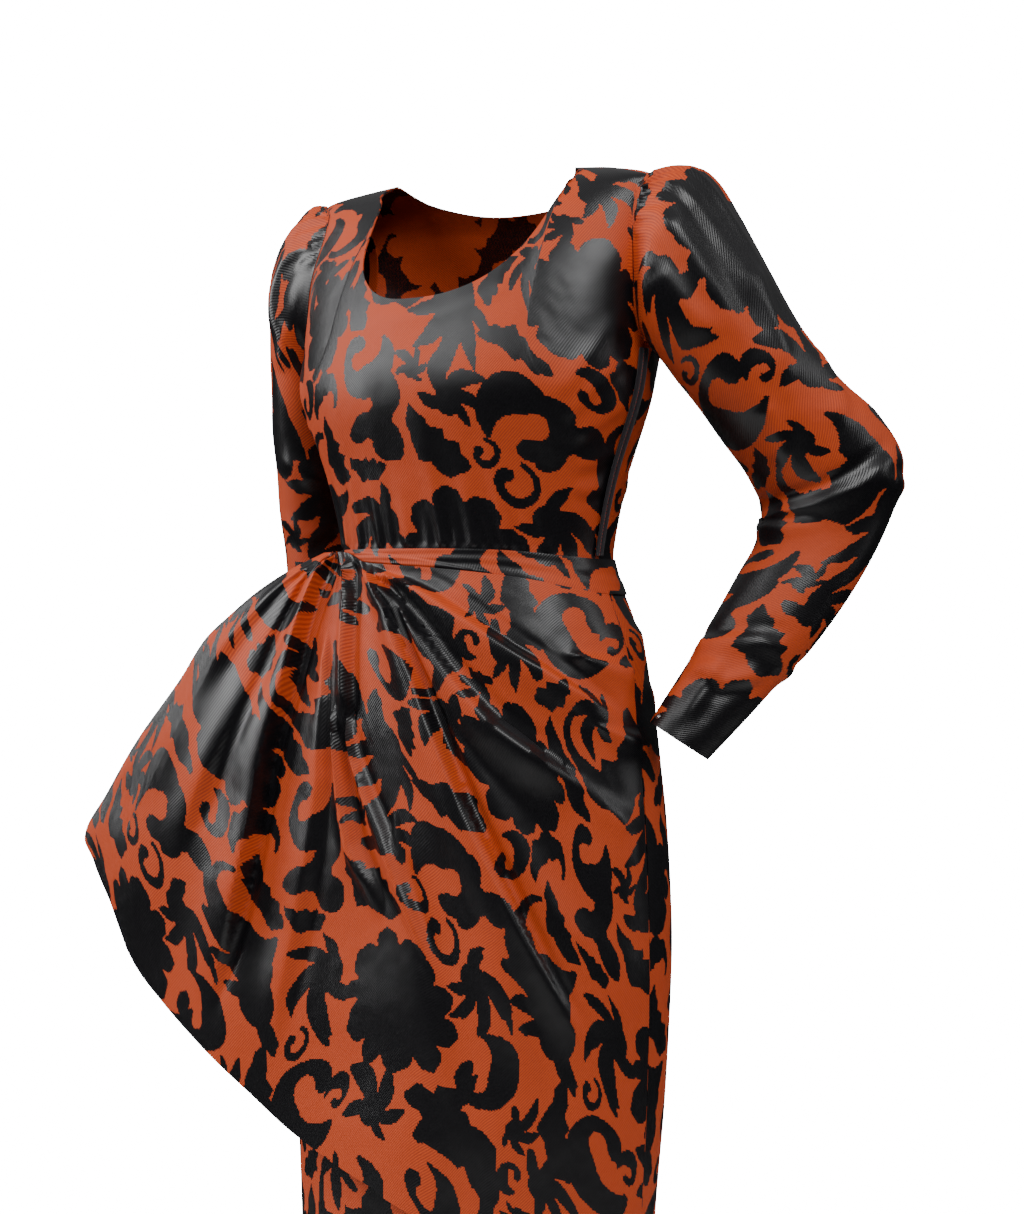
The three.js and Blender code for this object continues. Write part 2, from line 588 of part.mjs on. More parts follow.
const dress = new THREE.Group();
dress.name = 'dinner_dress';
dress.add(
  bodice('bodice_front', 'front'),
  bodice('bodice_back', 'back'),
  sleeve('sleeve_left', LEFT_SLEEVE, LEFT_PLANE, false),
  sleeve('sleeve_right', RIGHT_SLEEVE, RIGHT_PLANE, true),
  sash(),
  skirt('skirt_front', 'front'),
  skirt('skirt_back', 'back'),
  drape(),
  placket(),
  cuffSnap(),
);

export default dress;
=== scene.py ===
"""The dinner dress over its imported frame: cloth with folds, figured satin, studio and camera."""
import math

import bpy
import numpy as np
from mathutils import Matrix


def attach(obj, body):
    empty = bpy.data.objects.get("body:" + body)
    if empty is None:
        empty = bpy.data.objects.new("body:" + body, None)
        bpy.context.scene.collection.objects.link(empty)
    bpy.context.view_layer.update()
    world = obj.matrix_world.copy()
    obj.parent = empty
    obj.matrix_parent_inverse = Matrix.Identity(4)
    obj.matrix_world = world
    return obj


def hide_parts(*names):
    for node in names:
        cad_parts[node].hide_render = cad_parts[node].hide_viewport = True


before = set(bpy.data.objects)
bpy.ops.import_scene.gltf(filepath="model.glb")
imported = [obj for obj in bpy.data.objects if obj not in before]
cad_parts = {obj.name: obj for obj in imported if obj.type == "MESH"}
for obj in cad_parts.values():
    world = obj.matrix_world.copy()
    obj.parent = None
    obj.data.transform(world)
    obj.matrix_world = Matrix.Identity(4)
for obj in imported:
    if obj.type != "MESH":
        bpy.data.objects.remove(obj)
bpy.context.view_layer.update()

# Every size below is in millimetres, as in the part's source; mesh() turns them into metres.
WALL = 1.3             # cloth thickness
SEAM = 0.3             # gap between pieces at a seam
SIDE_SEAM = 0.03       # the same at the side seams, which are sewn shut
ARM_SEAM = 1.2         # gap between a sleeve head and the armhole
SQUARE = 2.25          # how square the body's sections are (2 is an ellipse)
NECK = (122, 100)      # how far the neckline reaches at the shoulder, left and right
SHOULDER_Z = -13
NECK_SHARE = 0.6       # part of a panel's half width that ends on the neckline
NECKLINE = {"front": (126, 2.5), "back": (30, 2.1)}     # depth and power
ARMHOLE_Z, ARMHOLE_HIGH = -89, 76
ARMHOLE_REACH = {"left": 26, "right": 52, "back": 46}      # left and right: to the front
SASH_OUT = 1.8
DRAPE_OUT = 3.6        # the drape's outer face over the skirt's
SEAT_GAP = 2.8
KNOT_OUT = 2.2
HEM = -1100


def table(columns, *rows):
    """Rows of numbers as named columns."""
    return dict(zip(columns.split(), np.array(rows, float).T))


# The worn form by height: half width, reach to the front and the back, and the middle's y
FORM = table(
    "z half front back mid",
    (0, 105, 3, 3, 8), (-4, 146, 16, 17, 8), (-13, 186, 34, 36, 8), (-26, 190, 51, 53, 8),
    (-44, 189, 68, 70, 8), (-100, 188, 104, 98, 8), (-165, 184, 124, 103, 4),
    (-215, 179, 128, 104, 0), (-290, 152, 111, 98, 0), (-356, 137, 99, 92, 0),
    (-374, 138, 100, 93, 0), (-400, 149, 106, 101, 0), (-446, 166, 114, 113, 0),
    (-500, 177, 119, 119, 0), (-560, 184, 121, 124, 0), (-668, 190, 122, 130, 0),
    (-740, 192, 122, 131, 0), (-860, 189, 123, 118, 0), (-986, 182, 124, 98, 0),
    (-1100, 178, 122, 90, 0))
# The waist seam and the sash's lower edge by angle: 0 is the front, 90 the left side
WAIST = table(
    "angle seam low",
    (-90, -357, -368), (-30, -356, -367), (30, -358, -379), (90, -366, -397),
    (180, -362, -390), (270, -357, -368))
# The drape's wing by height: its tip, how round that is, and the angle where it leaves the form
WING = table(
    "z x y round leave",
    (-350, -124, -56, 8, -54), (-358, -138, -65, 8, -51), (-372, -164, -78, 10, -45),
    (-393, -193, -93, 12, -36), (-417, -219, -105, 14, -30), (-440, -241, -116, 15, -25),
    (-478, -265, -126, 17, -19), (-535, -304, -140, 20, -12), (-592, -342, -148, 24, -7),
    (-626, -364, -153, 26, -5), (-660, -365, -153, 26, -5), (-1100, -365, -153, 26, -5))
# The drape's hem by s, which runs from the left side by the knot and the wing to the right side
DRAPE_EDGE = table(
    "s hem",
    (0, -1078), (0.15, -1062), (0.3, -1025), (0.41, -972), (0.5, -938), (0.56, -900),
    (0.6, -861), (0.64, -822), (0.67, -788), (0.695, -748), (0.712, -690), (0.727, -658),
    (0.75, -641), (0.775, -634), (0.82, -636), (0.9, -660), (1, -700))
# The sleeves, station by station in the arm's plane: the outer and the inner edge, how far back
# they lie, half the thickness, and the degrees by which that is turned outwards
LEFT_SLEEVE = table(
    "v ox oz ix iz away deep skew",
    (1, 203, -9, 164, -176, -100, 54, 4), (2, 236, -48, 174, -188, -98, 58, 12),
    (3, 268, -101, 185, -204, -92, 58, 20), (4, 300, -155, 203, -227, -84, 56, 26),
    (5, 337, -201, 227, -257, -72, 55, 30), (6, 373, -231, 249, -286, -62, 55, 33),
    (7, 396, -277, 266, -320, -50, 54, 35), (8, 383, -330, 262, -345, -52, 50, 35),
    (9, 347, -393, 241, -379, -66, 44, 35), (10, 307, -449, 216, -420, -82, 38, 35),
    (11, 268, -487, 194, -458, -94, 32, 35), (12, 210, -548, 158, -514, -108, 26, 35))
RIGHT_SLEEVE = table(
    "v ox oz ix iz away deep skew",
    (1, 205, -15, 190, -176, 10, 52, 0), (2, 238, -50, 191, -196, 14, 54, 0),
    (3, 252, -97, 187, -216, 20, 54, 0), (4, 261, -170, 185, -240, 28, 52, 0),
    (5, 269, -250, 185, -280, 40, 50, 0), (6, 273, -350, 189, -356, 57, 46, 0),
    (7, 264, -450, 194, -450, 64, 41, 0), (8, 258, -520, 198, -520, 66, 35, 0),
    (9, 255, -578, 201, -578, 66, 30, 0))
LEFT_PLANE, RIGHT_PLANE = 35, 0


# ---- small maths ----
def read(rows, column, at):
    """A smooth value of one column by the first column, which only rises or only falls."""
    key, value = next(iter(rows.values())), rows[column]
    if key[0] > key[-1]:
        key, value = key[::-1], value[::-1]
    at = np.clip(at, key[0], key[-1])
    i = np.clip(np.searchsorted(key, at, side="right") - 1, 0, len(key) - 2)
    span = key[i + 1] - key[i]
    before, after = np.maximum(i - 1, 0), np.minimum(i + 2, len(key) - 1)
    slope_in = (value[i + 1] - value[before]) / (key[i + 1] - key[before]) * span
    slope_out = (value[after] - value[i]) / (key[after] - key[i]) * span
    t, a, b = (at - key[i]) / span, value[i], value[i + 1]
    cubic = 2 * (a - b) + slope_in + slope_out
    return a + t * (slope_in + t * (3 * (b - a) - 2 * slope_in - slope_out + t * cubic))


def smooth(x, low, high):
    t = np.clip((x - low) / (high - low), 0, 1)
    return t * t * (3 - 2 * t)


def mix(a, b, t):
    return a + (b - a) * t


def hump(distance, width):
    return np.exp(-(distance / width) ** 2)


def bend(value):
    return np.sign(value) * np.abs(value) ** (2 / SQUARE)


def unit(vectors):
    return vectors / np.maximum(np.linalg.norm(vectors, axis=-1, keepdims=True), 1e-9)


def on_form(angle, z, out=0.0):
    """Points of the worn form at an angle from the front, moved out by a distance."""
    angle, z, out = np.broadcast_arrays(np.radians(angle), z, out)
    sine, cosine = bend(np.sin(angle)), bend(np.cos(angle))
    reach = np.where(cosine > 0, read(FORM, "front", z), read(FORM, "back", z)) + out
    x = (read(FORM, "half", z) + out) * sine
    return np.stack([x, read(FORM, "mid", z) - reach * cosine, z], -1)


def ripple(points, size, high, seed):
    """Slow unevenness of cloth: a few waves in fixed random directions."""
    rng = np.random.RandomState(seed)
    total = np.zeros(points.shape[:-1])
    for _ in range(7):
        way = unit(rng.normal(size=3)) / (size * rng.uniform(0.6, 1.6))
        total += np.sin(2 * math.pi * (points @ way + rng.rand()))
    return high * total / 7 * 2


# ---- cloth ----
def normals(points, closed):
    """Unit normals of a grid; closed says that its last column repeats its first."""
    if closed:
        wide = np.concatenate([points[:, -2:-1], points, points[:, 1:2]], 1)
        along = wide[:, 2:] - wide[:, :-2]
    else:
        along = np.gradient(points, axis=1)
    return unit(np.cross(along, np.gradient(points, axis=0)))


def creases(points, facing, folds, fanned=False):
    """How far a set of folds lifts the cloth. A fold is (high, near, far, route, dip).

    fanned says that the folds spread from one place: they start narrow, and where they
    meet the higher one shows, with a sharp valley between them.
    """
    total = np.zeros(points.shape[:-1])
    crest, valley = np.zeros_like(total), np.zeros_like(total)
    for high, near, far, route, dip in folds:
        best = np.full(total.shape, np.inf)
        side = np.zeros_like(total)
        share = np.zeros_like(total)
        for k, (start, end) in enumerate(zip(route[:-1], route[1:])):
            along = end - start
            t = np.clip((points - start) @ along / (along @ along), 0, 1)
            away = points - start - t[..., None] * along
            gap = np.linalg.norm(away, axis=-1)
            closer = gap < best
            best = np.where(closer, gap, best)
            here = (np.cross(along, away) * facing).sum(-1)
            side = np.where(closer, here, side)
            share = np.where(closer, (k + t) / (len(route) - 1), share)
        taper = smooth(share, -0.06, 0.08) * (1 - smooth(share, 0.7, 1))
        spread = mix(0.3, 1, smooth(share, 0, 0.45)) if fanned else 1.0
        shape = hump(best, spread * np.where(side > 0, near, far))
        trough = dip * np.where(side > 0, hump(best - 2 * near, near), 0)
        if fanned:
            crest = np.maximum(crest, high * taper * shape)
            valley = np.maximum(valley, high * taper * trough)
        else:
            total += high * taper * (shape - trough)
    return total + crest - valley


def places(*stretches):
    """Values from 0 to 1, evenly spaced within each stretch: (end of stretch, steps)."""
    values, start = [0.0], 0.0
    for end, steps in stretches:
        values += list(start + (end - start) * np.arange(1, steps + 1) / steps)
        start = end
    return np.array(values)


def mesh(name, *shells):
    """A mesh object from shells of millimetre points, faces and corners' cloth coordinates."""
    starts = np.cumsum([0] + [len(points) for points, _, _ in shells])
    verts = np.concatenate([points for points, _, _ in shells])
    faces = np.concatenate([quads + start for (_, quads, _), start in zip(shells, starts)])
    corners = np.concatenate([marks.reshape(-1, 3) for _, _, marks in shells])
    data = bpy.data.meshes.new(name)
    data.from_pydata((verts * 0.001).tolist(), [], faces.tolist())
    attribute = data.attributes.new("cloth", "FLOAT_VECTOR", "CORNER")
    attribute.data.foreach_set("vector", corners.astype(np.float32).ravel())
    data.shade_smooth()
    data.set_sharp_from_angle(angle=math.radians(50))
    obj = bpy.data.objects.new(name, data)
    bpy.context.scene.collection.objects.link(obj)
    return obj


def shell(face, across, down, relief=None, closed=False, fix=None, zero=(0.5, 0),
          shift=(0, 0), even=False):
    """A wall of cloth from its outer face. zero is where its coordinates start, as shares.

    even says that a row keeps one length coordinate all round, as on a bent sleeve.
    """
    u, v = np.meshgrid(across, down)
    outer = face(u, v)
    steps_u = np.linalg.norm(np.diff(outer, axis=1), axis=-1)
    steps_v = np.linalg.norm(np.diff(outer, axis=0), axis=-1)
    facing = normals(outer, closed)
    if relief is not None:
        outer = outer + facing * relief(u, v, outer, facing)[..., None]
        facing = normals(outer, closed)
    inner = outer - facing * WALL
    if fix is not None:
        outer, inner = fix(outer), fix(inner)
    rows, columns = u.shape
    wide = columns - 1 if closed else columns
    run_u = np.concatenate([np.zeros((rows, 1)), np.cumsum(steps_u, 1)], 1)
    if even:
        steps_v = np.broadcast_to(steps_v.mean(1, keepdims=True), steps_v.shape)
    run_v = np.concatenate([np.zeros((1, columns)), np.cumsum(steps_v, 0)], 0)
    centre, top = int(round(zero[0] * (columns - 1))), int(round(zero[1] * (rows - 1)))
    run_u = run_u - run_u[:, centre:centre + 1] + shift[0]
    run_v = run_v[top:top + 1] - run_v + shift[1]
    coordinates = np.stack([run_u, run_v, np.zeros_like(run_u)], -1).reshape(-1, 3)
    index = np.arange(rows)[:, None] * wide + np.arange(columns) % wide
    spot = np.arange(rows * columns).reshape(rows, columns)
    count = rows * wide
    verts = np.concatenate([outer[:, :wide].reshape(-1, 3), inner[:, :wide].reshape(-1, 3)])
    faces, corners = [], []

    def add(a, b, c, d, reverse=False):
        # Each is (grid of vertices, grid of places, is inside)
        quad = [a, b, c, d][::-1] if reverse else [a, b, c, d]
        faces.append(np.stack([g.ravel() + count * inside for g, _, inside in quad], 1))
        marks = []
        for _, where, inside in quad:
            mark = coordinates[where.ravel()].copy()
            mark[:, 2] = inside
            marks.append(mark)
        corners.append(np.stack(marks, 1))

    def grid(i, j, inside=0):
        return index[i, j], spot[i, j], inside

    here, after = slice(None, -1), slice(1, None)
    for inside in (0, 1):
        add(grid(here, here, inside), grid(here, after, inside), grid(after, after, inside),
            grid(after, here, inside), reverse=bool(inside))
    for edge, flip in ((0, False), (-1, True)):
        add(grid(edge, here), grid(edge, here, 1), grid(edge, after, 1), grid(edge, after), flip)
        if not closed:
            ring = grid(here, edge), grid(after, edge), grid(after, edge, 1), grid(here, edge, 1)
            add(*ring, flip)
    return verts, np.concatenate(faces), np.concatenate(corners)


def cloth(name, *face_and_steps, **settings):
    return mesh(name, shell(*face_and_steps, **settings))


def routed(surface, folds):
    """Folds (high, near, far, line, dip) with the pairs of their lines as points on a surface."""
    return [(high, near, far, [surface(*np.array(spot, float)) for spot in line], dip)
            for high, near, far, line, dip in folds]


# ---- bodice ----
GATHERS = table(
    "angle lean high wide rise",
    (-64, 3, 1.8, 4.6, 40), (-55, 2, 3.0, 4.2, 78), (-50, 3, 1.6, 2.8, 26),
    (-42, 1, 3.4, 4.8, 60), (-36, 2, 2.0, 3.0, 34), (-28, 0, 3.8, 4.4, 112),
    (-22, 1, 1.8, 2.8, 24), (-15, -1, 3.2, 3.8, 58), (-10, 0, 2.2, 3.0, 88),
    (-2, -2, 3.8, 4.6, 42), (5, -2, 1.8, 2.8, 30), (11, -3, 3.8, 4.0, 118),
    (17, -4, 1.8, 3.0, 36), (24, -4, 3.2, 4.6, 64), (31, -6, 2.0, 3.0, 28),
    (38, -5, 3.0, 4.2, 92), (47, -7, 2.2, 4.4, 44), (58, -8, 1.6, 4.6, 60))
GATHER_HIGH = 1.5      # how much higher the gathers are made than their table says


def armhole_angle(z, side, left):
    """The angle on the form at which a panel ends in the armhole; 90 below and above it."""
    height = (z - ARMHOLE_Z) / ARMHOLE_HIGH
    front = np.where(left, ARMHOLE_REACH["left"], ARMHOLE_REACH["right"])
    reach = front if side == "front" else ARMHOLE_REACH["back"]
    reach = reach * np.sqrt(np.clip(1 - height ** 2, 0, 1))
    share = np.clip(reach / read(FORM, side, z), 0, 1)
    return 90 - np.degrees(np.arcsin(share ** (SQUARE / 2)))


def ridge(x):
    """The height of the shoulder seam at a distance from the middle."""
    z = np.linspace(0, SHOULDER_Z, 200)
    return np.interp(x, read(FORM, "half", z), z)


def bodice_face(side, u, v):
    """Outer face of a bodice panel: u across, v from the top edge to the waist."""
    across = 1 - 2 * u if side == "front" else 2 * u - 1
    far = np.abs(across)
    depth, power = NECKLINE[side]
    shoulder = read(FORM, "half", SHOULDER_Z)
    turn = np.minimum(far / NECK_SHARE, 1) * math.pi / 2
    beyond = np.maximum((far - NECK_SHARE) / (1 - NECK_SHARE), 0)
    neck = np.where(across > 0, *NECK)
    top_x = neck * np.sin(turn) ** (2 / power) + (shoulder - neck) * beyond
    dip = -depth * np.maximum(np.cos(turn), 0) ** (2 / power)
    top_z = np.where(beyond > 0, ridge(top_x), dip)
    seam = read(WAIST, "seam", across * 90 if side == "front" else 180 - across * 90)
    z = mix(seam, top_z, 1 - v)
    edge = np.sin(np.radians(armhole_angle(z, side, across > 0))) ** (2 / SQUARE)
    wide = np.maximum(read(FORM, "half", z), 1)
    reach = top_x / shoulder * edge * np.where(z > SHOULDER_Z, shoulder / wide, 1)
    by_width = np.degrees(np.arcsin(np.clip(reach, 0, 1) ** (SQUARE / 2)))
    angle = np.sign(across) * mix(90 * far, by_width, smooth(z, -270, -150))
    return on_form(angle if side == "front" else 180 - angle, z)


FRONT_CREASES = routed(on_form, [
    # (high, near, far, [(angle, z), ...], dip)
    (2.6, 8, 12, [(76, -150), (62, -190), (50, -230)], 0.2),
    (2.0, 6, 10, [(80, -180), (66, -214), (56, -246)], 0.2),
    (1.6, 6, 9, [(84, -226), (72, -246), (62, -262)], 0.2),
    (1.8, 6, 9, [(86, -268), (76, -278), (64, -284)], 0.3),
    (1.6, 5, 8, [(86, -300), (74, -304), (66, -300)], 0.3),
    (2.4, 8, 12, [(-76, -150), (-62, -192), (-52, -228)], 0.2),
    (1.8, 6, 10, [(-82, -190), (-66, -222), (-58, -250)], 0.2),
    (1.6, 6, 9, [(-86, -280), (-74, -288), (-62, -284)], 0.3),
    (1.4, 10, 14, [(30, -118), (12, -140), (-16, -150)], 0),
])
BACK_CREASES = routed(on_form, [
    (2.2, 9, 12, [(104, -150), (122, -190), (138, -226)], 0.2),
    (2.2, 9, 12, [(256, -150), (240, -192), (224, -230)], 0.2),
    (1.6, 7, 10, [(96, -280), (110, -296), (130, -300)], 0.3),
    (1.6, 7, 10, [(264, -286), (250, -300), (232, -302)], 0.3),
    (1.4, 9, 12, [(150, -330), (180, -320), (210, -332)], 0),
    (1.4, 9, 12, [(140, -230), (180, -240), (220, -228)], 0),
])
ROUND_WAIST = 1.9      # millimetres a degree round the front at the waist
GATHER_DIP = 0.5       # how deep the dents beside a gather are, as a share of its height


def front_relief(u, v, points, facing):
    """Gathers at the front waist, and the creases under the arms and at the side seam."""
    angle = 90 * (1 - 2 * u)
    above = points[..., 2] - read(WAIST, "seam", angle)
    total = np.zeros_like(u)
    for at, lean, high, wide, rise in zip(*GATHERS.values()):
        away = (angle - at - lean * above / 60) * ROUND_WAIST
        spread = wide * (1 + above / 90)
        shape = hump(away, spread) - GATHER_DIP * hump(away, 2 * spread)
        total += GATHER_HIGH * high * shape * hump(np.maximum(above - 4, 0), rise)
    total += creases(points, facing, FRONT_CREASES)
    return total * smooth(above, 1, 7) + ripple(points, 90, 0.5, 3) * smooth(above, 0, 20)


def back_relief(u, v, points, facing):
    return creases(points, facing, BACK_CREASES) + ripple(points, 90, 0.5, 4)


def keep_side(sign, middle=True):
    """Keeps a panel half a seam short of the side seams' plane."""
    def fix(points):
        limit = (read(FORM, "mid", points[..., 2]) if middle else 0) + sign * SIDE_SEAM / 2
        points[..., 1] = (np.minimum if sign < 0 else np.maximum)(points[..., 1], limit)
        return points
    return fix


bodice_front = cloth(
    "front_bodice", lambda u, v: bodice_face("front", u, v), places((1, 170)), places((1, 120)),
    front_relief, fix=keep_side(-1), zero=(0.5, 1), shift=(150, 120))
bodice_back = cloth(
    "back_bodice", lambda u, v: bodice_face("back", u, v), places((1, 120)), places((1, 100)),
    back_relief, fix=keep_side(1), zero=(0.5, 1), shift=(40, 20))


# ---- sleeves ----
def armhole_point(turn, left):
    """Round an armhole from its top (0) by the front (90), drawn on the left side."""
    z = ARMHOLE_Z + ARMHOLE_HIGH * np.cos(np.radians(turn))
    front = np.sin(np.radians(turn)) >= 0
    angle = np.where(front, armhole_angle(z, "front", left), 180 - armhole_angle(z, "back", left))
    return on_form(angle, z) + np.array([ARM_SEAM, 0, 0])


def sleeve_base(rows, plane, turn, v, left=True):
    """The sleeve's outer face: turn round it from its outer edge, v from head to cuff."""
    turn, v = np.broadcast_arrays(turn, v)
    cos_p, sin_p = math.cos(math.radians(plane)), math.sin(math.radians(plane))

    def solid(across, z, away):
        return np.array([across * cos_p - away * sin_p, across * sin_p + away * cos_p, z])

    cosine, sine = np.cos(np.radians(turn))[..., None], np.sin(np.radians(turn))[..., None]
    stations = [armhole_point(turn, left)]
    for ox, oz, ix, iz, away, deep, skew in zip(*list(rows.values())[1:]):
        outer, inner = solid(ox, oz, away), solid(ix, iz, away)
        depth = deep * np.array([math.sin(math.radians(skew)), -math.cos(math.radians(skew)), 0])
        middle = (outer + inner) / 2
        stations.append(middle + (outer - middle) * cosine + depth * sine)
    stations = np.stack(stations)
    last = len(stations) - 1
    t = v * last
    i = np.minimum(np.floor(t).astype(int), last - 1)
    f = (t - i)[..., None]
    picks = [np.maximum(i - 1, 0), i, i + 1, np.minimum(i + 2, last)]
    weights = [-0.5 * f + f ** 2 - 0.5 * f ** 3, 1 - 2.5 * f ** 2 + 1.5 * f ** 3,
               0.5 * f + 2 * f ** 2 - 1.5 * f ** 3, -0.5 * f ** 2 + 0.5 * f ** 3]
    grids = np.indices(turn.shape)
    return sum(stations[(pick, *grids)] * w for pick, w in zip(picks, weights))


HEAD_FOLDS = table(
    "turn lean high wide reach",
    (-66, -4, 3.4, 3.2, 0.10), (-54, -3, 4.6, 3.6, 0.16), (-43, -2, 3.8, 3.2, 0.11),
    (-31, -1, 5.2, 4.0, 0.20), (-20, -1, 3.8, 3.2, 0.12), (-9, 0, 4.8, 3.6, 0.16),
    (3, 0, 4.2, 3.2, 0.11), (15, 1, 5.4, 4.0, 0.22), (27, 2, 4.0, 3.2, 0.12),
    (38, 3, 5.4, 4.0, 0.24), (50, 4, 4.2, 3.2, 0.13), (62, 5, 4.8, 3.6, 0.18),
    (74, 5, 3.4, 3.2, 0.10))


def head_relief(turn, v):
    """The gathers that hold the sleeve head up, running out along the arm."""
    turn = (turn + 180) % 360 - 180
    total = np.zeros_like(turn)
    for at, lean, high, wide, reach in zip(*HEAD_FOLDS.values()):
        middle = at + lean * v / 0.1
        shape = hump(turn - middle, wide * (1 + 3 * v)) - 0.4 * hump(turn - middle, 2.2 * wide)
        total += high * shape * hump(v, reach)
    return total * smooth(v, 0, 0.02)


LEFT_CREASES = [
    # (high, near, far, [(turn, v), ...], dip)
    (7, 7, 20, [(176, 0.60), (140, 0.605), (100, 0.60), (55, 0.575), (15, 0.55)], 0.5),
    (4, 6, 14, [(190, 0.635), (160, 0.65), (125, 0.66), (95, 0.655)], 0.4),
    (3, 6, 12, [(40, 0.60), (15, 0.615), (-15, 0.61)], 0.3),
    (4.5, 7, 12, [(170, 0.885), (130, 0.87), (90, 0.845), (50, 0.84)], 0.4),
    (4, 6, 10, [(60, 0.90), (95, 0.925), (130, 0.92), (165, 0.935)], 0.4),
    (3.5, 7, 10, [(120, 0.90), (112, 0.94), (110, 0.985)], 0.3),
    (3, 6, 10, [(20, 0.875), (0, 0.885), (-25, 0.89)], 0.3),
    (5, 10, 18, [(60, 0.10), (70, 0.17), (78, 0.25), (80, 0.33)], 0.3),
    (4, 9, 16, [(95, 0.12), (100, 0.20), (98, 0.28)], 0.3),
    (3.5, 9, 16, [(30, 0.24), (50, 0.32), (72, 0.39)], 0.2),
    (3.5, 8, 14, [(100, 0.40), (112, 0.46), (130, 0.52)], 0.3),
    (3, 8, 14, [(10, 0.36), (40, 0.44), (70, 0.50)], 0.2),
    (5, 8, 18, [(184, 0.60), (225, 0.605), (270, 0.60), (320, 0.57)], 0.5),
    (3.5, 7, 14, [(200, 0.66), (240, 0.68), (280, 0.67)], 0.3),
    (3.5, 8, 14, [(300, 0.16), (285, 0.26), (270, 0.36)], 0.2),
    (3, 8, 14, [(320, 0.38), (290, 0.46), (250, 0.52)], 0.2),
    (3, 7, 12, [(200, 0.86), (245, 0.85), (290, 0.87)], 0.3),
]
RIGHT_CREASES = [
    (4, 9, 16, [(60, 0.12), (75, 0.22), (84, 0.33)], 0.3),
    (3.5, 8, 14, [(110, 0.16), (100, 0.28), (96, 0.38)], 0.2),
    (3, 7, 14, [(170, 0.55), (120, 0.57), (70, 0.55)], 0.4),
    (3, 7, 12, [(160, 0.62), (110, 0.65), (50, 0.63)], 0.4),
    (3, 7, 12, [(60, 0.80), (110, 0.83), (160, 0.82)], 0.4),
    (2.6, 7, 12, [(30, 0.90), (90, 0.92), (140, 0.90)], 0.3),
    (3.5, 8, 14, [(300, 0.14), (285, 0.26), (275, 0.38)], 0.2),
    (3, 7, 14, [(190, 0.56), (240, 0.58), (300, 0.56)], 0.4),
    (2.6, 7, 12, [(200, 0.72), (250, 0.75), (310, 0.73)], 0.3),
    (2.6, 7, 12, [(190, 0.87), (240, 0.89), (300, 0.88)], 0.3),
]


ARMHOLE_MIDDLE = np.array([0, 4, ARMHOLE_Z])
TURNING = (2, -8)      # how far the turned-in edge reaches along the arm and into the bodice
TURNING_GAP = 1.8      # how far it stands inside the armhole's edge


def sleeve(name, rows, plane, folds, mirror, seed, shift):
    """One sleeve: the seam lies underneath, where its cloth coordinates meet."""
    way = -1 if mirror else 1
    flip = np.array([way, 1, 1])

    def on_arm(turn, v):
        return sleeve_base(rows, plane, turn, v, not mirror) * flip

    def place(u, v):
        return on_arm(way * (180 + 360 * u), v)

    routes = routed(on_arm, folds)

    def relief(u, v, points, facing):
        total = creases(points, facing, routes) * smooth(v, 0, 0.03)
        total = total + head_relief(way * (180 + 360 * u), v)
        return total + ripple(points, 80, 0.9, seed) * smooth(v, 0, 0.08)

    def turning(u, v):
        """The seam's turned-in edge, which lines the armhole."""
        points = armhole_point(way * (180 + 360 * u), not mirror)
        inward = unit(ARMHOLE_MIDDLE - points * np.array([0, 1, 1]))
        across = np.array([1.0, 0, 0]) * mix(*TURNING, v)[..., None]
        return (points + inward * TURNING_GAP + across) * flip

    arm = shell(place, places((1, 100)), places((0.1, 40), (1, 150)), relief,
                closed=True, shift=shift, even=True)
    lining = shell(turning, places((1, 100)), places((1, 4)), closed=True, shift=shift)
    return mesh(name, arm, lining)


sleeve_left = sleeve("left_sleeve", LEFT_SLEEVE, LEFT_PLANE, LEFT_CREASES, False, 7, (60, 200))
sleeve_right = sleeve("right_sleeve", RIGHT_SLEEVE, RIGHT_PLANE, RIGHT_CREASES, True, 8, (200, 90))


# ---- waist sash ----
SASH_LAP = 1.2         # how far its upper edge covers the bodice's
SASH_ROLL, SASH_WAVE, SASH_STEP = 0.7, 0.28, 1.1       # its roundness, its folds and its lap


def sash_face(u, v):
    angle = 270 - 360 * u
    top = read(WAIST, "seam", angle) + SASH_LAP
    return on_form(angle, mix(top, read(WAIST, "low", angle), v), SASH_OUT)


def sash_relief(u, v, points, facing):
    """Soft folds along the band, and the small overlapping one by the knot."""
    angle = 270 - 360 * u
    roll = SASH_ROLL * np.sin(math.pi * v) ** 0.5
    waves = SASH_WAVE * np.sin(2 * math.pi * (2.2 * v + 0.35 * np.sin(np.radians(angle * 2 + 20))))
    line = mix(0.25, 0.95, smooth(angle, -28, 34))
    lap = SASH_STEP * smooth(v - line, -0.05, 0.05)
    lap = lap * smooth(angle, -40, -25) * (1 - smooth(angle, 28, 44))
    return roll + waves * np.sin(math.pi * v) + lap * (1 - smooth(v, 0.9, 1))


sash = cloth("waist_band", sash_face, places((1, 300)), places((1, 22)), sash_relief,
             closed=True, shift=(30, 255))


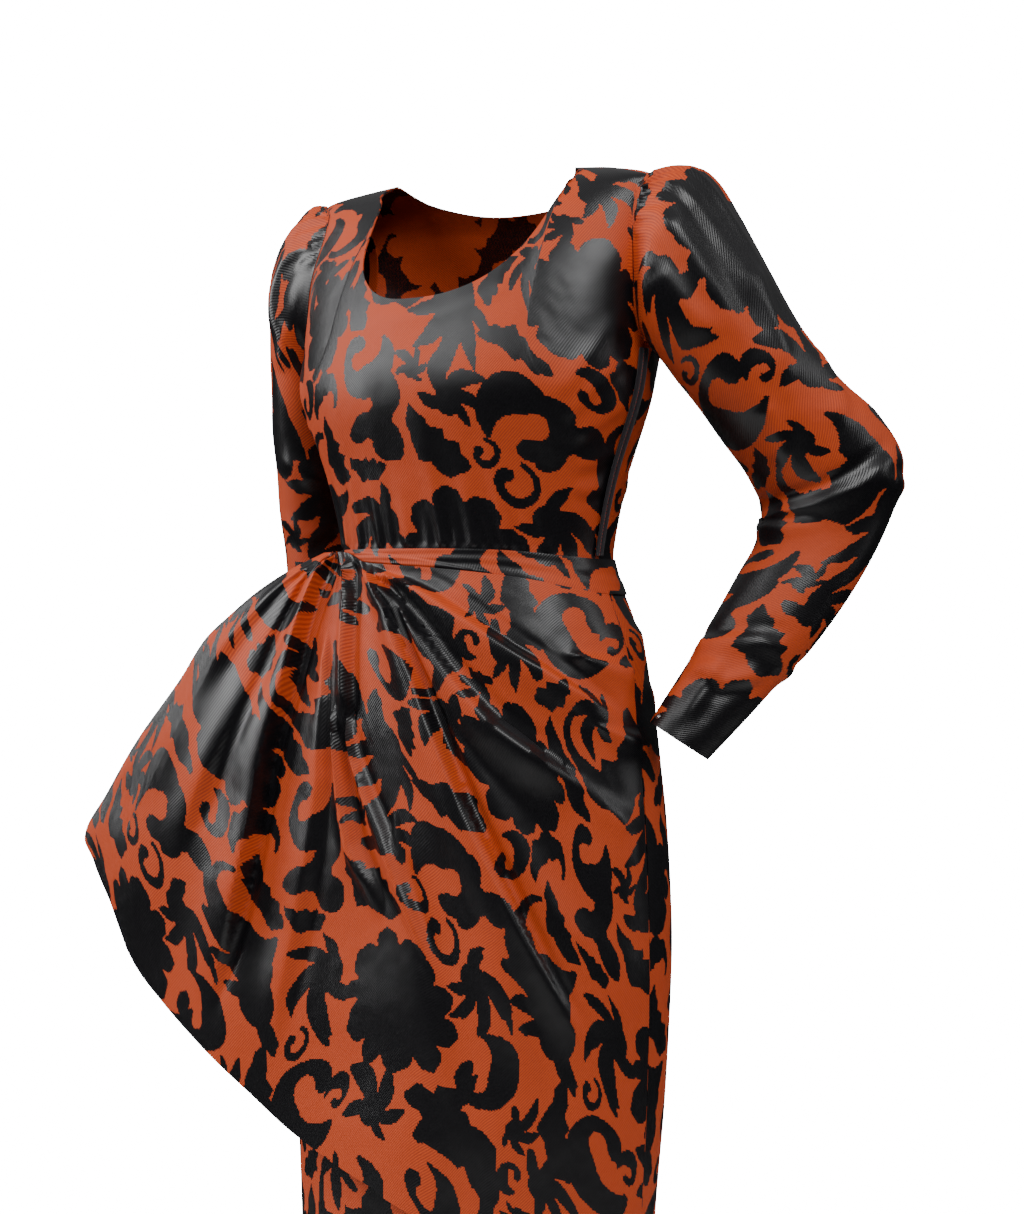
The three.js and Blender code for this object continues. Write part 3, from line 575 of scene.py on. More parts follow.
# ---- skirt ----
SKIRT_FOLDS = routed(on_form, [
    (2.5, 26, 34, [(60, -470), (56, -700), (58, -940), (60, -1090)], 0),
    (2.5, 24, 32, [(22, -520), (20, -740), (24, -960), (25, -1095)], 0),
    (2.5, 26, 34, [(-16, -500), (-18, -720), (-20, -940), (-18, -1095)], 0),
    (3.0, 26, 34, [(-52, -480), (-54, -700), (-52, -930), (-54, -1095)], 0),
    (3.0, 30, 38, [(130, -560), (128, -760), (132, -980), (130, -1095)], 0),
    (3.0, 30, 38, [(158, -600), (160, -800), (156, -990), (158, -1095)], 0),
    (3.0, 30, 38, [(198, -590), (196, -790), (200, -990), (198, -1095)], 0),
    (3.0, 30, 38, [(228, -560), (230, -770), (227, -980), (229, -1095)], 0),
    (2.4, 6, 14, [(105, -430), (140, -448), (180, -452)], 0.3),
    (2.4, 6, 14, [(256, -420), (224, -440), (190, -446)], 0.3),
    (2.0, 7, 14, [(100, -480), (124, -500), (150, -506)], 0.3),
])
SKIRT_MOST = {"front": 1.0, "back": 3.0}       # the most that a fold stands out


def skirt(name, side, seed, shift):
    def face(u, v):
        angle = (90 if side == "front" else 270) - 180 * u
        return on_form(angle, mix(read(WAIST, "low", angle) - SEAM, HEM, v))

    def relief(u, v, points, facing):
        total = creases(points, facing, SKIRT_FOLDS) + ripple(points, 150, 0.6, seed)
        return np.clip(total, -3, SKIRT_MOST[side]) * smooth(v, 0, 0.05)

    sign = -1 if side == "front" else 1
    return cloth(name, face, places((1, 96)), places((1, 140)), relief,
                 fix=keep_side(sign, middle=False), shift=shift)


skirt_front = skirt("front_skirt", "front", 11, (90, 40))
skirt_back = skirt("back_skirt", "back", 12, (10, 130))


# ---- drape ----
DRAPE_START = 88       # the angle of its left edge
FRONT_END, TIP_START, TIP_END = 0.5, 0.72, 0.82    # where s leaves the form and rounds the wing
FAN = 0.6              # the power of a row at the left side: below 1, the rows sink faster there
PULL = 0.35            # how far the wing's curves keep their directions, as a share of its reach
DRAPE_FOLDS = [
    # (high, near, far, [(s, z), ...], dip)
    (13, 6, 24, [(0.40, -372), (0.355, -386), (0.328, -400), (0.282, -425), (0.233, -450),
                 (0.185, -468), (0.130, -489), (0.072, -506), (0.013, -526)], 0.45),
    (14, 6, 24, [(0.40, -384), (0.375, -404), (0.360, -439), (0.333, -476), (0.295, -510),
                   (0.237, -538), (0.172, -564), (0.092, -581)], 0.4),
    (17, 5, 34, [(0.40, -366), (0.388, -413), (0.388, -476), (0.375, -546), (0.350, -608),
                   (0.297, -674), (0.230, -745), (0.125, -826)], 0.4),
    (13, 3.5, 16, [(0.44, -362), (0.465, -404), (0.482, -440), (0.502, -495), (0.520, -550)], 0.35),
    (12, 6, 10, [(0.519, -500), (0.523, -540), (0.523, -592), (0.519, -630), (0.506, -662),
                (0.49, -700)], 0.2),
    (12, 6, 12, [(0.506, -510), (0.506, -550), (0.501, -582), (0.489, -615), (0.476, -645),
                (0.459, -676), (0.432, -722), (0.40, -770)], 0.2),
    (18, 5, 34, [(0.60, -360), (0.588, -393), (0.580, -441), (0.585, -478), (0.593, -516),
                 (0.598, -563), (0.598, -611), (0.603, -663), (0.613, -714), (0.623, -759),
                 (0.632, -802)], 0.4),
    (8, 8, 22, [(0.64, -372), (0.640, -392), (0.632, -432), (0.635, -479), (0.645, -527),
                (0.652, -574), (0.655, -618), (0.662, -661)], 0.25),
    (7, 10, 24, [(0.67, -372), (0.69, -392), (0.70, -422), (0.705, -459), (0.71, -503)], 0.2),
    (7, 8, 22, [(0.53, -440), (0.534, -495), (0.545, -571), (0.552, -635), (0.563, -712),
                (0.573, -777), (0.580, -844)], 0.25),
    (7, 10, 26, [(0.41, -440), (0.402, -511), (0.390, -583), (0.362, -653), (0.315, -724),
                 (0.263, -795), (0.215, -856)], 0.25),
    (5, 12, 24, [(0.47, -600), (0.455, -700), (0.42, -790), (0.38, -880)], 0.1),
    (5, 14, 26, [(0.36, -480), (0.33, -560), (0.28, -630), (0.21, -690), (0.12, -740)], 0.1),
    (3.5, 8, 16, [(0.20, -460), (0.13, -480), (0.05, -500)], 0.2),
    (3.5, 8, 16, [(0.16, -560), (0.10, -590), (0.03, -610)], 0.2),
    (7, 9, 16, [(0.13, -452), (0.07, -462), (0.02, -468), (-0.02, -470)], 0.3),
    (6, 8, 14, [(0.12, -512), (0.06, -524), (0.02, -530), (-0.02, -532)], 0.3),
]
KNOT_PLEATS = table(
    "s lean high wide fade",
    (0.415, -0.02, 2.4, 0.005, 26), (0.452, -0.01, 3.0, 0.006, 40), (0.486, 0.02, 2.4, 0.005, 30),
    (0.522, 0.01, 3.2, 0.006, 60), (0.556, 0.02, 2.4, 0.005, 28), (0.628, 0.01, 2.6, 0.006, 36))
MOST_FOLD = 22         # the most that a fold stands out
HANG = 10              # how far the hem stands off the skirt beside the wing


def bezier(points, t):
    w = [(1 - t) ** 3, 3 * t * (1 - t) ** 2, 3 * t * t * (1 - t), t ** 3]
    return sum(point * weight[..., None] for point, weight in zip(points, w))


def drape_section(s, z):
    """The drape's horizontal section, with no folds."""
    s, z = np.broadcast_arrays(np.asarray(s, float), z)
    over = smooth(s, 0.38, 0.44) * smooth(z, -378, -366) * KNOT_OUT
    out = DRAPE_OUT + over
    leave = read(WING, "leave", z)
    front = on_form(mix(DRAPE_START, leave, np.minimum(s / FRONT_END, 1)), z, out)
    start = on_form(leave, z, out)[..., :2]
    before = on_form(leave + 1, z, out)[..., :2]
    seat = on_form(-90, z, SEAT_GAP + over)[..., :2]
    tip = np.stack([read(WING, "x", z), read(WING, "y", z)], -1)
    radius = read(WING, "round", z)[..., None]
    ahead, behind = tip - start, tip - seat
    reach_front = np.linalg.norm(ahead, axis=-1, keepdims=True) * PULL
    reach_back = np.linalg.norm(behind, axis=-1, keepdims=True) * PULL
    ahead, behind = unit(ahead), unit(behind)
    tip = tip + (ahead + behind) * 0.3 * radius
    tip_front, tip_back = tip - ahead * 1.3 * radius, tip - behind * 1.3 * radius
    leaving = unit(start - before)
    outward = np.array([-0.9, -0.25])
    first = bezier([start, start + leaving * reach_front, tip_front - ahead * reach_front,
                    tip_front], np.clip((s - FRONT_END) / (TIP_START - FRONT_END), 0, 1))
    second = bezier([tip_front, tip_front + ahead * radius, tip_back + behind * radius, tip_back],
                    np.clip((s - TIP_START) / (TIP_END - TIP_START), 0, 1))
    third = bezier([tip_back, tip_back - behind * reach_back, seat + outward * reach_back, seat],
                   np.clip((s - TIP_END) / (1 - TIP_END), 0, 1))
    flat = np.where((s <= TIP_START)[..., None], first,
                    np.where((s <= TIP_END)[..., None], second, third))
    wing = np.concatenate([flat, z[..., None]], -1)
    return np.where((s <= FRONT_END)[..., None], front, wing)


def drape_top(s):
    """Under the sash in front and on the left; over it from the knot to the right side."""
    angle = np.where(s < FRONT_END, mix(DRAPE_START, WING["leave"][1], s / FRONT_END), -60)
    under = read(WAIST, "low", angle)
    return mix(under, read(WAIST, "seam", angle), smooth(s, 0.4, 0.46)) - 0.5


def drape_face(s, row):
    """Rows fan out from the knot: they sink faster towards the left side."""
    v = row ** mix(FAN, 1, smooth(s, 0, 0.4))
    return drape_section(s, mix(drape_top(s), read(DRAPE_EDGE, "hem", s), v))


DRAPE_ROUTES = routed(drape_section, DRAPE_FOLDS)


def drape_relief(s, row, points, facing):
    """The large folds, the pleats under the knot and the slow waves of the wing."""
    below = drape_top(s) - points[..., 2]
    in_front = 1 - smooth(s, TIP_START - 0.04, TIP_START)
    folds = np.clip(creases(points, facing, DRAPE_ROUTES, fanned=True), -3, MOST_FOLD) * in_front
    total = folds * smooth(below, -1, 14)
    for at, lean, high, wide, fade in zip(*KNOT_PLEATS.values()):
        gap = s - at - lean * below / 80
        width = wide * (1 + below / 60)
        shape = np.where(gap < 0, hump(gap, 0.6 * width), hump(gap, 2.0 * width))
        total += high * shape * hump(below, fade)
    wave = ripple(points, 130, 1.6, 21) * smooth(below, 20, 120)
    wave += HANG * smooth(row, 0.5, 1) * smooth(s, 0.36, 0.48) * (1 - smooth(s, 0.6, 0.72))
    keep = smooth(s, 0, 0.04) * (1 - smooth(s, 0.95, 1))
    deepest = np.where(s < FRONT_END, -1.0, -6.0)
    return np.maximum(total + wave * keep, deepest)


drape = cloth(
    "draped_overskirt", drape_face, places((0.36, 62), (0.66, 160), (1, 54)),
    places((0.1, 40), (1, 125)), drape_relief, zero=(0.5, 0), shift=(120, 70))


# ---- side placket and cuff fastener ----
PLACKET_ANGLE, PLACKET_WIDE, PLACKET_OUT = 89, 5, 2.7      # degrees, degrees, millimetres
PLACKET_ENDS = (0.454, 0.988)      # as shares of the way from the shoulder to the waist


def placket_face(u, v):
    """The double welt over the left side seam, from the underarm to the waist."""
    z = mix(SHOULDER_Z, read(WAIST, "seam", 90), mix(*PLACKET_ENDS, v))
    return on_form(PLACKET_ANGLE + PLACKET_WIDE * (0.5 - u), z, PLACKET_OUT)


def placket_relief(u, v, points, facing):
    """Two rolled welts with the stitched line between them."""
    welt = np.abs(u - 0.5)
    return 0.9 * np.sin(math.pi * np.clip(welt * 2, 0, 1)) ** 0.6 - 0.5 * hump(welt, 0.06)


placket = cloth("side_welt", placket_face, places((1, 24)), places((1, 110)), placket_relief)


STUD_TURN, STUD_V = 157.5, 0.985       # where it sits on the left cuff
STUD_PROFILE = ((0, 1.75), (0.5, 1.72), (0.95, 1.5), (1.15, 1.15), (1.3, 1.0), (1.7, 0.95),
                (2.2, 1.15), (2.6, 1.1), (2.9, 0.8), (3.0, 0.45), (2.95, 0.3), (0, 0.3))


def snap(turn, v):
    """A small pressed metal stud: a domed ring round a raised button."""
    def at(turn, v):
        return sleeve_base(LEFT_SLEEVE, LEFT_PLANE, np.array(float(turn)), np.array(float(v)))

    spot = at(turn, v)
    along, down = at(turn + 2, v) - at(turn - 2, v), at(turn, v + 0.01) - at(turn, v - 0.01)
    normal = unit(np.cross(along, down))
    side = unit(along)
    other = np.cross(normal, side)
    count = 40
    verts, faces = [], []
    for radius, high in STUD_PROFILE:
        for k in range(count):
            a = 2 * math.pi * k / count
            round_it = side * math.cos(a) + other * math.sin(a)
            verts.append(spot + normal * high + round_it * radius)
    for i in range(len(STUD_PROFILE) - 1):
        for k in range(count):
            after = (k + 1) % count
            faces.append((i * count + k, (i + 1) * count + k,
                          (i + 1) * count + after, i * count + after))
    faces = np.array(faces)
    return mesh("press_stud", (np.array(verts), faces, np.zeros((len(faces) * 4, 3))))


stud = snap(STUD_TURN, STUD_V)


# ---- figured satin ----
REPEAT = (300.0, 400.0)      # one repeat of the pattern, as charted
UNIT = 100.0                 # the shader works in hundreds of its millimetres
SCALE = 1.2                  # how much larger the pattern is on the cloth than it is charted
SPREAD = 0.006               # how much its figures are widened, in units
THREAD = 1.6                 # one step of the woven edge
TWILL = 2.8                  # from one twill line to the next, along a thread
BEND, WOBBLE = 7.0, 1.6      # how far slow and quick waves bend its rows and columns
ROW_WAVE, COLUMN_WAVE, QUICK_WAVE = 37, 33, (31, 9)     # and how long they are, over 2 pi
TURN = np.linspace(0, 1, 129)
COMMA = (1, 8, 14, 17, 16, 12, 8, 6, 5, 6.5, 9, 8, 3)
ACANTHUS = (1, 8, 15, 20, 22, 20, 15, 10, 6, 4, 3, 2)
TENDRIL = (1.5, 2.2, 2.8, 3.5, 4.2, 4.5, 4, 3.6, 5, 6.5, 3)
SPRAY = ((0.10, 1.0, 0.10), (0.25, 0.88, 0.09), (0.39, 0.74, 0.085), (0.53, 0.55, 0.09),
         (0.90, 0.62, 0.10))


def saw(x):
    """Pointed teeth: rises slowly, falls fast."""
    x = x % 1
    return np.where(x < 0.7, x / 0.7, (1 - x) / 0.3)


def bloom(radius, lobes, depth, seed, one_side):
    """A round flower with uneven scalloped petals, as its reach round the turn."""
    rng = np.random.RandomState(seed)
    sizes = 1 - 0.3 * rng.rand(lobes)
    starts = np.cumsum(0.6 + 0.8 * rng.rand(lobes))
    starts = np.concatenate([[0], starts]) / starts[-1]
    k = np.clip(np.searchsorted(starts, TURN, side="right") - 1, 0, lobes - 1)
    f = (TURN - starts[k]) / (starts[k + 1] - starts[k])
    lobe = np.abs(np.sin(np.pi * f)) ** 0.55
    fine = 0.03 * np.abs(np.sin(np.pi * 3 * f))
    fan_out = 1 + one_side * np.cos(2 * np.pi * TURN)
    return None, radius * fan_out * (1 - depth + depth * lobe * sizes[k] * 1.1 + fine)


def petals(base, *tips, teeth=0, bite=0.12):
    """A base circle with pointed petals: (place on the turn, length, width)."""
    outer = base + 0 * TURN
    for at, length, wide in tips:
        gap = (TURN - at + 0.5) % 1 - 0.5
        outer = np.maximum(outer, length * np.clip(1 - np.abs(gap / wide) ** 1.3, 0, 1) ** 0.8)
    if teeth:
        outer = outer * (1 + bite * smooth(outer, base, 2 * base) * (saw(TURN * teeth) - 0.5))
    return None, outer


def fan(size, teeth=0):
    """A spray of leaves from one point, longest first."""
    tips = [(at, size * length, wide) for at, length, wide in SPRAY]
    return petals(0.26 * size, *tips, teeth=teeth)


def band(first, last, start, end, widths, size=1.0, outer_teeth=0, inner_teeth=0, bite=0.45):
    """A band along a spiral between two places on the turn, with half widths along it."""
    share = np.clip((TURN - start) / (end - start), 0, 1)
    middle = first + (last - first) * share
    w = size * np.interp(share, np.linspace(0, 1, len(widths)), widths)
    inside = (TURN >= start) & (TURN <= end)
    full = smooth(w, 2, 7)
    outer = middle + w * (1 + bite * full * (saw(share * outer_teeth) - 0.5) * (outer_teeth > 0))
    inner = middle - w * (1 + bite * full * (saw(share * inner_teeth) - 0.5) * (inner_teeth > 0))
    return np.where(inside, inner, UNIT - 1), np.where(inside, outer, 0)


def leaf(length, wide, curl, teeth, bite=0.4, hold=0.42):
    """A pointed leaf bent by curl (radians), with teeth; hold is where its centre lies."""
    t = np.linspace(0, 1, 161)
    heading = curl * (t - 0.5)
    spine = np.cumsum(np.stack([np.cos(heading), np.sin(heading)], 1), 0) * length / len(t)
    spine = spine - spine[int(len(t) * hold)]
    across = np.stack([-np.sin(heading), np.cos(heading)], 1)
    body = wide * np.sin(np.pi * t ** 0.75) ** 0.85
    left = body * (1 - bite * saw(t * teeth))
    right = body * (1 - bite * saw(t * (teeth - 1) + 0.5))
    outline = [spine + across * left[:, None], (spine - across * right[:, None])[::-1]]
    return None, cast(np.concatenate(outline))


def cast(points):
    """How far a closed outline reaches from its centre, round the turn."""
    ahead = np.roll(points, -1, 0) - points
    angle = 2 * np.pi * (TURN - 0.5)
    ray = np.stack([np.cos(angle), np.sin(angle)], 1)[:, None]
    cross = ray[..., 0] * ahead[:, 1] - ray[..., 1] * ahead[:, 0]
    cross = np.where(np.abs(cross) < 1e-9, 1e-9, cross)
    reach = (points[:, 0] * ahead[:, 1] - points[:, 1] * ahead[:, 0]) / cross
    along = (points[:, 0] * ray[..., 1] - points[:, 1] * ray[..., 0]) / cross
    return np.where((along >= 0) & (along <= 1) & (reach > 0), reach, 0).max(1)


MOTIFS = [
    # x, y, turn, swirl, (inner and outer reach round the turn)
    (82, 92, 20, 0.0, bloom(53, 10, 0.26, 1, 0.12)),
    (232, 292, 200, 0.0, bloom(51, 9, 0.28, 5, 0.14)),
    (222, 100, 82, 0.10, petals(20, (0.47, 74, 0.06), (0.54, 60, 0.055), (0.40, 52, 0.06),
                         (0.62, 46, 0.07), (0.31, 40, 0.07), (0.98, 46, 0.09), teeth=30)),
    (76, 292, 262, -0.10, petals(19, (0.5, 70, 0.06), (0.42, 54, 0.06), (0.58, 56, 0.06),
                         (0.33, 42, 0.07), (0.68, 42, 0.07), (0.03, 44, 0.08), teeth=30)),
    (150, 196, 20, 0.06, petals(13, (0.12, 38, 0.17), (0.45, 33, 0.16), (0.78, 40, 0.17))),
    (292, 192, 200, -0.06, petals(12, (0.14, 34, 0.18), (0.46, 38, 0.16), (0.8, 31, 0.17))),
    # hooked commas
    (160, 28, 30, 0.0, band(36, 14, 0.03, 0.93, COMMA)),
    (22, 200, 150, 0.0, band(33, 14, 0.03, 0.93, COMMA, 0.95)),
    (294, 60, 250, 0.0, band(29, 12, 0.03, 0.93, COMMA, 0.85)),
    (165, 250, 320, 0.0, band(27, 11, 0.03, 0.93, COMMA, 0.8)),
    # serrated scrolls
    (140, 340, 300, 0.0, band(46, 26, 0.04, 0.75, ACANTHUS, 1.0, 6, 4)),
    (12, 372, 195, 0.0, band(42, 24, 0.04, 0.72, ACANTHUS, 0.95, 6, 3)),
    (224, 176, 20, 0.0, band(40, 22, 0.04, 0.70, ACANTHUS, 0.8, 6, 3)),
    # fans of curved leaves
    (148, 118, 120, 0.35, fan(56, teeth=24)),
    (6, 130, 300, -0.35, fan(50, teeth=24)),
    (296, 330, 40, 0.35, fan(48)),
    (84, 212, 180, -0.4, fan(44)),
    (226, 386, 250, -0.35, fan(46, teeth=20)),
    # leaves
    (212, 24, 80, 0.0, leaf(84, 17, 1.2, 4)),
    (28, 30, 150, 0.0, leaf(80, 16, -1.1, 4)),
    (180, 300, 70, 0.0, leaf(76, 15, 1.0, 4)),
    (12, 262, 20, 0.0, leaf(78, 15, -1.2, 4)),
    # small ones in the gaps
    (92, 5, 250, 0.32, fan(46)),
    (45, 360, 270, 0.0, band(24, 10, 0.03, 0.93, COMMA, 0.66)),
    (95, 172, 40, 0.0, leaf(77, 17, 1.2, 4)),
    (210, 222, 130, 0.0, band(22, 13, 0.05, 0.7, ACANTHUS, 0.51, 6, 3)),
    (135, 360, 120, 0.41, fan(36)),
    (205, 178, 60, 0.0, leaf(66, 14, 1.2, 4)),
    (262, 225, 240, 0.0, band(18, 7, 0.03, 0.93, COMMA, 0.51)),
    (32, 155, 280, 0.0, band(18, 8, 0.02, 0.97, TENDRIL, 0.8)),
    (252, 25, 320, 0.51, fan(29)),
    (42, 312, 120, 0.0, leaf(53, 12, 1.2, 4)),
    (252, 360, 10, -0.58, fan(25)),
    (162, 162, 20, 0.0, leaf(45, 10, 1.2, 4)),
    (128, 22, 170, 0.0, band(13, 5, 0.03, 0.93, COMMA, 0.35)),
    (180, 68, 270, 0.0, band(13, 5, 0.02, 0.97, TENDRIL, 0.65)),
    (115, 232, 240, 0.66, fan(22)),
    (182, 358, 140, 0.0, leaf(44, 10, -1.2, 4)),
    (55, 175, 250, 0.0, band(12, 5, 0.02, 0.97, TENDRIL, 0.6)),
    (255, 390, 60, 0.0, band(12, 5, 0.03, 0.93, COMMA, 0.33)),
]


class Shader:
    """A material or a world whose nodes are added one short line at a time."""

    def __init__(self, owner, end="Principled BSDF"):
        owner.use_nodes = True
        self.owner, self.tree = owner, owner.node_tree
        self.inputs = self.tree.nodes[end].inputs

    def put(self, socket, value):
        if isinstance(value, bpy.types.NodeSocket):
            self.tree.links.new(value, socket)
        else:
            socket.default_value = value

    def node(self, kind, *values, **settings):
        """A new node, with values or links for its first inputs."""
        made = self.tree.nodes.new(kind)
        for key, value in settings.items():
            setattr(made, key, value)
        for socket, value in zip(made.inputs, values):
            self.put(socket, value)
        return made

    def math(self, operation, *values):
        return self.node("ShaderNodeMath", *values, operation=operation).outputs[0]

    def vector(self, operation, *values):
        made = self.node("ShaderNodeVectorMath", *values, operation=operation)
        return made.outputs["Value" if operation == "LENGTH" else "Vector"]

    def split(self, vector):
        return self.node("ShaderNodeSeparateXYZ", vector).outputs

    def join(self, x, y, z):
        return self.node("ShaderNodeCombineXYZ", x, y, z).outputs[0]

    def curve(self, value, heights):
        """A value from 0 to 1 read off a curve of even steps."""
        made = self.node("ShaderNodeFloatCurve")
        points = made.mapping.curves[0].points
        points[0].location, points[1].location = (0, heights[0]), (1, heights[-1])
        for x, y in zip(TURN[1:-1], heights[1:-1]):
            points.new(float(x), float(y))
        for point in points:
            point.handle_type = "VECTOR"
        made.mapping.update()
        self.put(made.inputs["Value"], value)
        return made.outputs[0]

    def blend(self, share, first, second):
        made = self.node("ShaderNodeMix", data_type="RGBA")
        self.put(made.inputs[0], share)
        self.put(made.inputs[6], first)
        self.put(made.inputs[7], second)
        return made.outputs[2]

    def give(self, **inputs):
        """Sets or links inputs of the end node; _ stands for a space in their names."""
        for name, value in inputs.items():
            self.put(self.inputs[name.replace("_", " ")], value)

    def between(self, share, first, second):
        """A number from first to second."""
        return self.math("MULTIPLY_ADD", share, second - first, first)

    def noise(self, vector, scale, detail):
        made = self.node("ShaderNodeTexNoise", vector)
        made.inputs["Scale"].default_value = scale
        made.inputs["Detail"].default_value = detail
        made.inputs["Roughness"].default_value = 0.5
        return made.outputs[0]

    def bump(self, height, distance, strength=1.0, normal=None):
        made = self.node("ShaderNodeBump")
        made.inputs["Strength"].default_value = strength
        made.inputs["Distance"].default_value = distance
        self.put(made.inputs["Height"], height)
        if normal is not None:
            self.put(made.inputs["Normal"], normal)
        return made.outputs[0]

    def cloth(self):
        return self.node("ShaderNodeAttribute", attribute_name="cloth").outputs["Vector"]


def pattern(shader, cloth):
    """1 where the black figure shows, 0 on the ground, from the cloth's coordinates."""
    x, y, inside = shader.split(shader.vector("SNAP", cloth, (THREAD, THREAD, 1)))
    across = shader.math("SINE", shader.math("MULTIPLY", y, 1 / COLUMN_WAVE))
    up = shader.math("SINE", shader.math("MULTIPLY_ADD", x, 1 / ROW_WAVE, 1.0))
    quick = shader.math("MULTIPLY", y, 1 / QUICK_WAVE[1])
    quick = shader.math("SINE", shader.math("MULTIPLY_ADD", x, 1 / QUICK_WAVE[0], quick))
    x = shader.math("MULTIPLY_ADD", across, BEND, shader.math("MULTIPLY_ADD", quick, WOBBLE, x))
    y = shader.math("MULTIPLY_ADD", up, BEND, y)
    place = shader.vector("SCALE", shader.join(x, y, 0.0))
    place.node.inputs["Scale"].default_value = 1 / (UNIT * SCALE)
    half = (REPEAT[0] / 2 / UNIT, REPEAT[1] / 2 / UNIT, 1.0)
    best = -1.0
    for cx, cy, turn, swirl, (inner, outer) in MOTIFS:
        offset = shader.vector("SUBTRACT", place, (cx / UNIT, cy / UNIT, 0.0))
        offset = shader.vector("WRAP", offset, half, tuple(-h for h in half))
        dx, dy, _ = shader.split(offset)
        far = shader.vector("LENGTH", offset)
        angle = shader.math("ARCTAN2", dy, dx)
        turned = shader.math("MULTIPLY_ADD", angle, 1 / (2 * math.pi), 1.5 - turn / 360)
        if swirl:
            turned = shader.math("MULTIPLY_ADD", far, swirl, turned)
        share = shader.math("FRACT", turned)
        room = shader.math("SUBTRACT", shader.curve(share, outer / UNIT), far)
        if inner is not None:
            past_inner = shader.math("SUBTRACT", far, shader.curve(share, inner / UNIT))
            room = shader.math("MINIMUM", room, past_inner)
        best = shader.math("MAXIMUM", room, best)
    figure = shader.math("GREATER_THAN", best, -SPREAD)
    return shader.math("ABSOLUTE", shader.math("SUBTRACT", figure, inside))


RUST, RUST_LIGHT = (0.42, 0.040, 0.003, 1), (0.70, 0.095, 0.010, 1)
RUST_PATCH, RUST_LINE = (0.54, 0.060, 0.006, 1), (0.26, 0.020, 0.002, 1)
BLACK, BLACK_LIGHT = (0.002, 0.0017, 0.0024, 1), (0.006, 0.0055, 0.007, 1)
WELT, WELT_LIGHT = (0.010, 0.009, 0.012, 1), (0.022, 0.021, 0.025, 1)
STITCH = (0.22, 0.018, 0.008, 1)
STEEL, STEEL_LIGHT = (0.30, 0.30, 0.31, 1), (0.56, 0.56, 0.57, 1)
STITCH_LONG = 3.2            # from one stitch to the next, in millimetres


def make_brocade(shader):
    """Rust twill ground with black satin figures; the inside shows them the other way round."""
    cloth = shader.cloth()
    figure = pattern(shader, cloth)
    grain = shader.noise(cloth, 0.62, 1.0)
    patch = shader.noise(cloth, 0.022, 2.0)
    ground = shader.blend(patch, shader.blend(grain, RUST, RUST_LIGHT), RUST_PATCH)
    x, y, _ = shader.split(cloth)
    across = shader.math("MULTIPLY", shader.math("ADD", x, y), 2 * math.pi / TWILL)
    twill = shader.math("SINE", across)
    lines = shader.math("MULTIPLY_ADD", twill, 0.34, 0.34)
    ground = shader.blend(lines, ground, RUST_LINE)
    rough = shader.between(figure, 0.60, 0.29)
    shader.give(
        Base_Color=shader.blend(figure, ground, shader.blend(grain, BLACK, BLACK_LIGHT)),
        Roughness=shader.math("MULTIPLY_ADD", grain, 0.08, rough), Specular_IOR_Level=0.4,
        Normal=shader.bump(patch, 0.003, 0.5, shader.bump(twill, 0.00005)))


def make_black(shader):
    """Plain black satin welts with a stitched line in rust thread between them."""
    cloth = shader.cloth()
    x, y, _ = shader.split(cloth)
    along = shader.math("SINE", shader.math("MULTIPLY", y, 2 * math.pi / STITCH_LONG))
    line = shader.math("LESS_THAN", shader.math("ABSOLUTE", x), 0.55)
    stitch = shader.math("MULTIPLY", shader.math("GREATER_THAN", along, -0.35), line)
    satin = shader.blend(shader.noise(cloth, 0.8, 1.0), WELT, WELT_LIGHT)
    shader.give(Base_Color=shader.blend(stitch, satin, STITCH), Sheen_Weight=0.12,
                Roughness=shader.between(stitch, 0.36, 0.6), Normal=shader.bump(stitch, 0.0004))


def make_steel(shader):
    """Dull pressed metal, a little worn."""
    wear = shader.noise(shader.node("ShaderNodeTexCoord").outputs["Object"], 900.0, 3.0)
    shader.give(Base_Color=shader.blend(wear, STEEL, STEEL_LIGHT), Metallic=1.0,
                Roughness=shader.between(wear, 0.24, 0.42))


def make_floor(shader):
    shader.give(Base_Color=(0.8, 0.8, 0.79, 1), Roughness=0.7)


def material(name, make):
    shader = Shader(bpy.data.materials.new(name))
    make(shader)
    return shader.owner


# ---- pieces on the frame ----
MATERIALS = {
    "brocade": material("brocade", make_brocade),
    "black_satin": material("black_satin", make_black),
    "snap_metal": material("snap_metal", make_steel),
}
PIECES = [
    # piece, node, slot, flat size (m), held, rests on, area of the cut (m2)
    (bodice_front, "bodice_front", "brocade", (0.46, 0.36), "gathered", "bodice_back", 0.138),
    (bodice_back, "bodice_back", "brocade", (0.44, 0.36), "draped", "bodice_front", 0.148),
    (sleeve_left, "sleeve_left", "brocade", (0.40, 0.66), "gathered", "bodice_front", 0.192),
    (sleeve_right, "sleeve_right", "brocade", (0.38, 0.60), "gathered", "bodice_front", 0.146),
    (sash, "waist_sash", "brocade", (0.80, 0.024), "folded", "bodice_front", None),
    (skirt_front, "skirt_front", "brocade", (0.50, 0.74), "hung", "waist_sash", 0.357),
    (skirt_back, "skirt_back", "brocade", (0.50, 0.72), "hung", "waist_sash", 0.350),
    (drape, "drape", "brocade", (0.98, 0.70), "draped", "waist_sash", 0.40),
    (placket, "side_placket", "black_satin", (0.016, 0.19), "folded", "bodice_front", None),
    (stud, "cuff_snap", "snap_metal", None, None, None, None),
]
for piece, node, slot, flat, held, below, area in PIECES:
    piece.data.materials.append(MATERIALS[slot])
    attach(piece, "root")
    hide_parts(node)

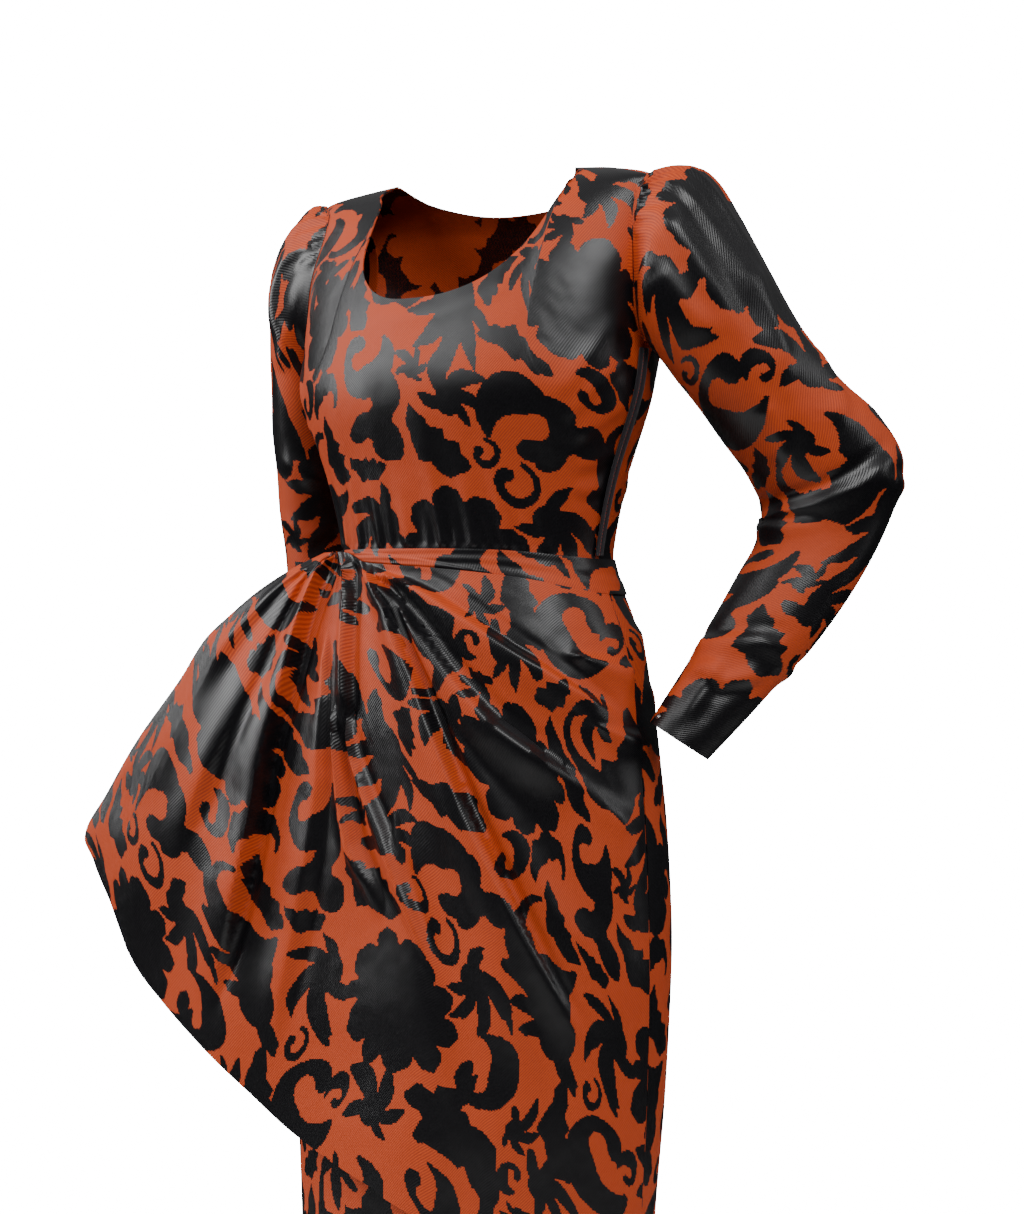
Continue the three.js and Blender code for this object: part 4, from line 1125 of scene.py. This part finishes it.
# ---- studio ----
SKY_LOW, SKY_RISE, SKY_SEEN = 0.02, 0.55, 20.0  # the surround's light low down, its growth
SKY_START = 0.05                                 # upwards, and how bright the camera sees it
world = bpy.data.worlds.new("studio")
bpy.context.scene.world = world
sky = Shader(world, "Background")
height = sky.split(sky.node("ShaderNodeTexCoord").outputs["Generated"])[2]
rise = sky.math("MAXIMUM", sky.math("SUBTRACT", height, SKY_START), 0.0)
shine = sky.math("MULTIPLY_ADD", rise, SKY_RISE, SKY_LOW)
seen = sky.node("ShaderNodeLightPath").outputs["Is Camera Ray"]
sky.give(Color=(1, 1, 1, 1), Strength=sky.math("MULTIPLY_ADD", seen, SKY_SEEN, shine))


def light(name, place, aim, size, power):
    data = bpy.data.lights.new(name, "AREA")
    data.shape = "RECTANGLE"
    data.size, data.size_y = size
    data.energy = power
    obj = bpy.data.objects.new(name, data)
    obj.location = place
    way = np.array(aim) - np.array(place)
    obj.rotation_euler = (math.acos(-way[2] / np.linalg.norm(way)), 0,
                          math.atan2(way[1], way[0]) - math.pi / 2)
    bpy.context.scene.collection.objects.link(obj)


light("key", (-1.1, -2.6, 1.6), (0, 0, -0.4), (2.0, 1.5), 58)
light("left", (-2.9, -1.5, 0.8), (0, 0, -0.6), (1.2, 2.3), 84)
light("right", (2.6, 1.2, 0.5), (0, 0, -0.5), (0.6, 2.0), 18)
light("top", (2.0, -1.6, 1.7), (0.2, 0, -0.1), (1.5, 1.2), 74)

bpy.ops.mesh.primitive_circle_add(
    vertices=128, radius=1.25, fill_type="NGON", location=(0, 0, -1.4))
floor = bpy.context.object
floor.name = "floor"
floor.data.materials.append(material("floor", make_floor))

EYE = (1.4601, -2.0295, -0.409)
TURNED = 35                  # degrees from the front towards the left side
camera = bpy.data.cameras.new("camera")
camera.sensor_width = 36
camera.lens = 78.05
eye = bpy.data.objects.new("camera", camera)
eye.location = EYE
eye.rotation_euler = (math.radians(90), 0, math.radians(TURNED))
bpy.context.scene.collection.objects.link(eye)
bpy.context.scene.camera = eye
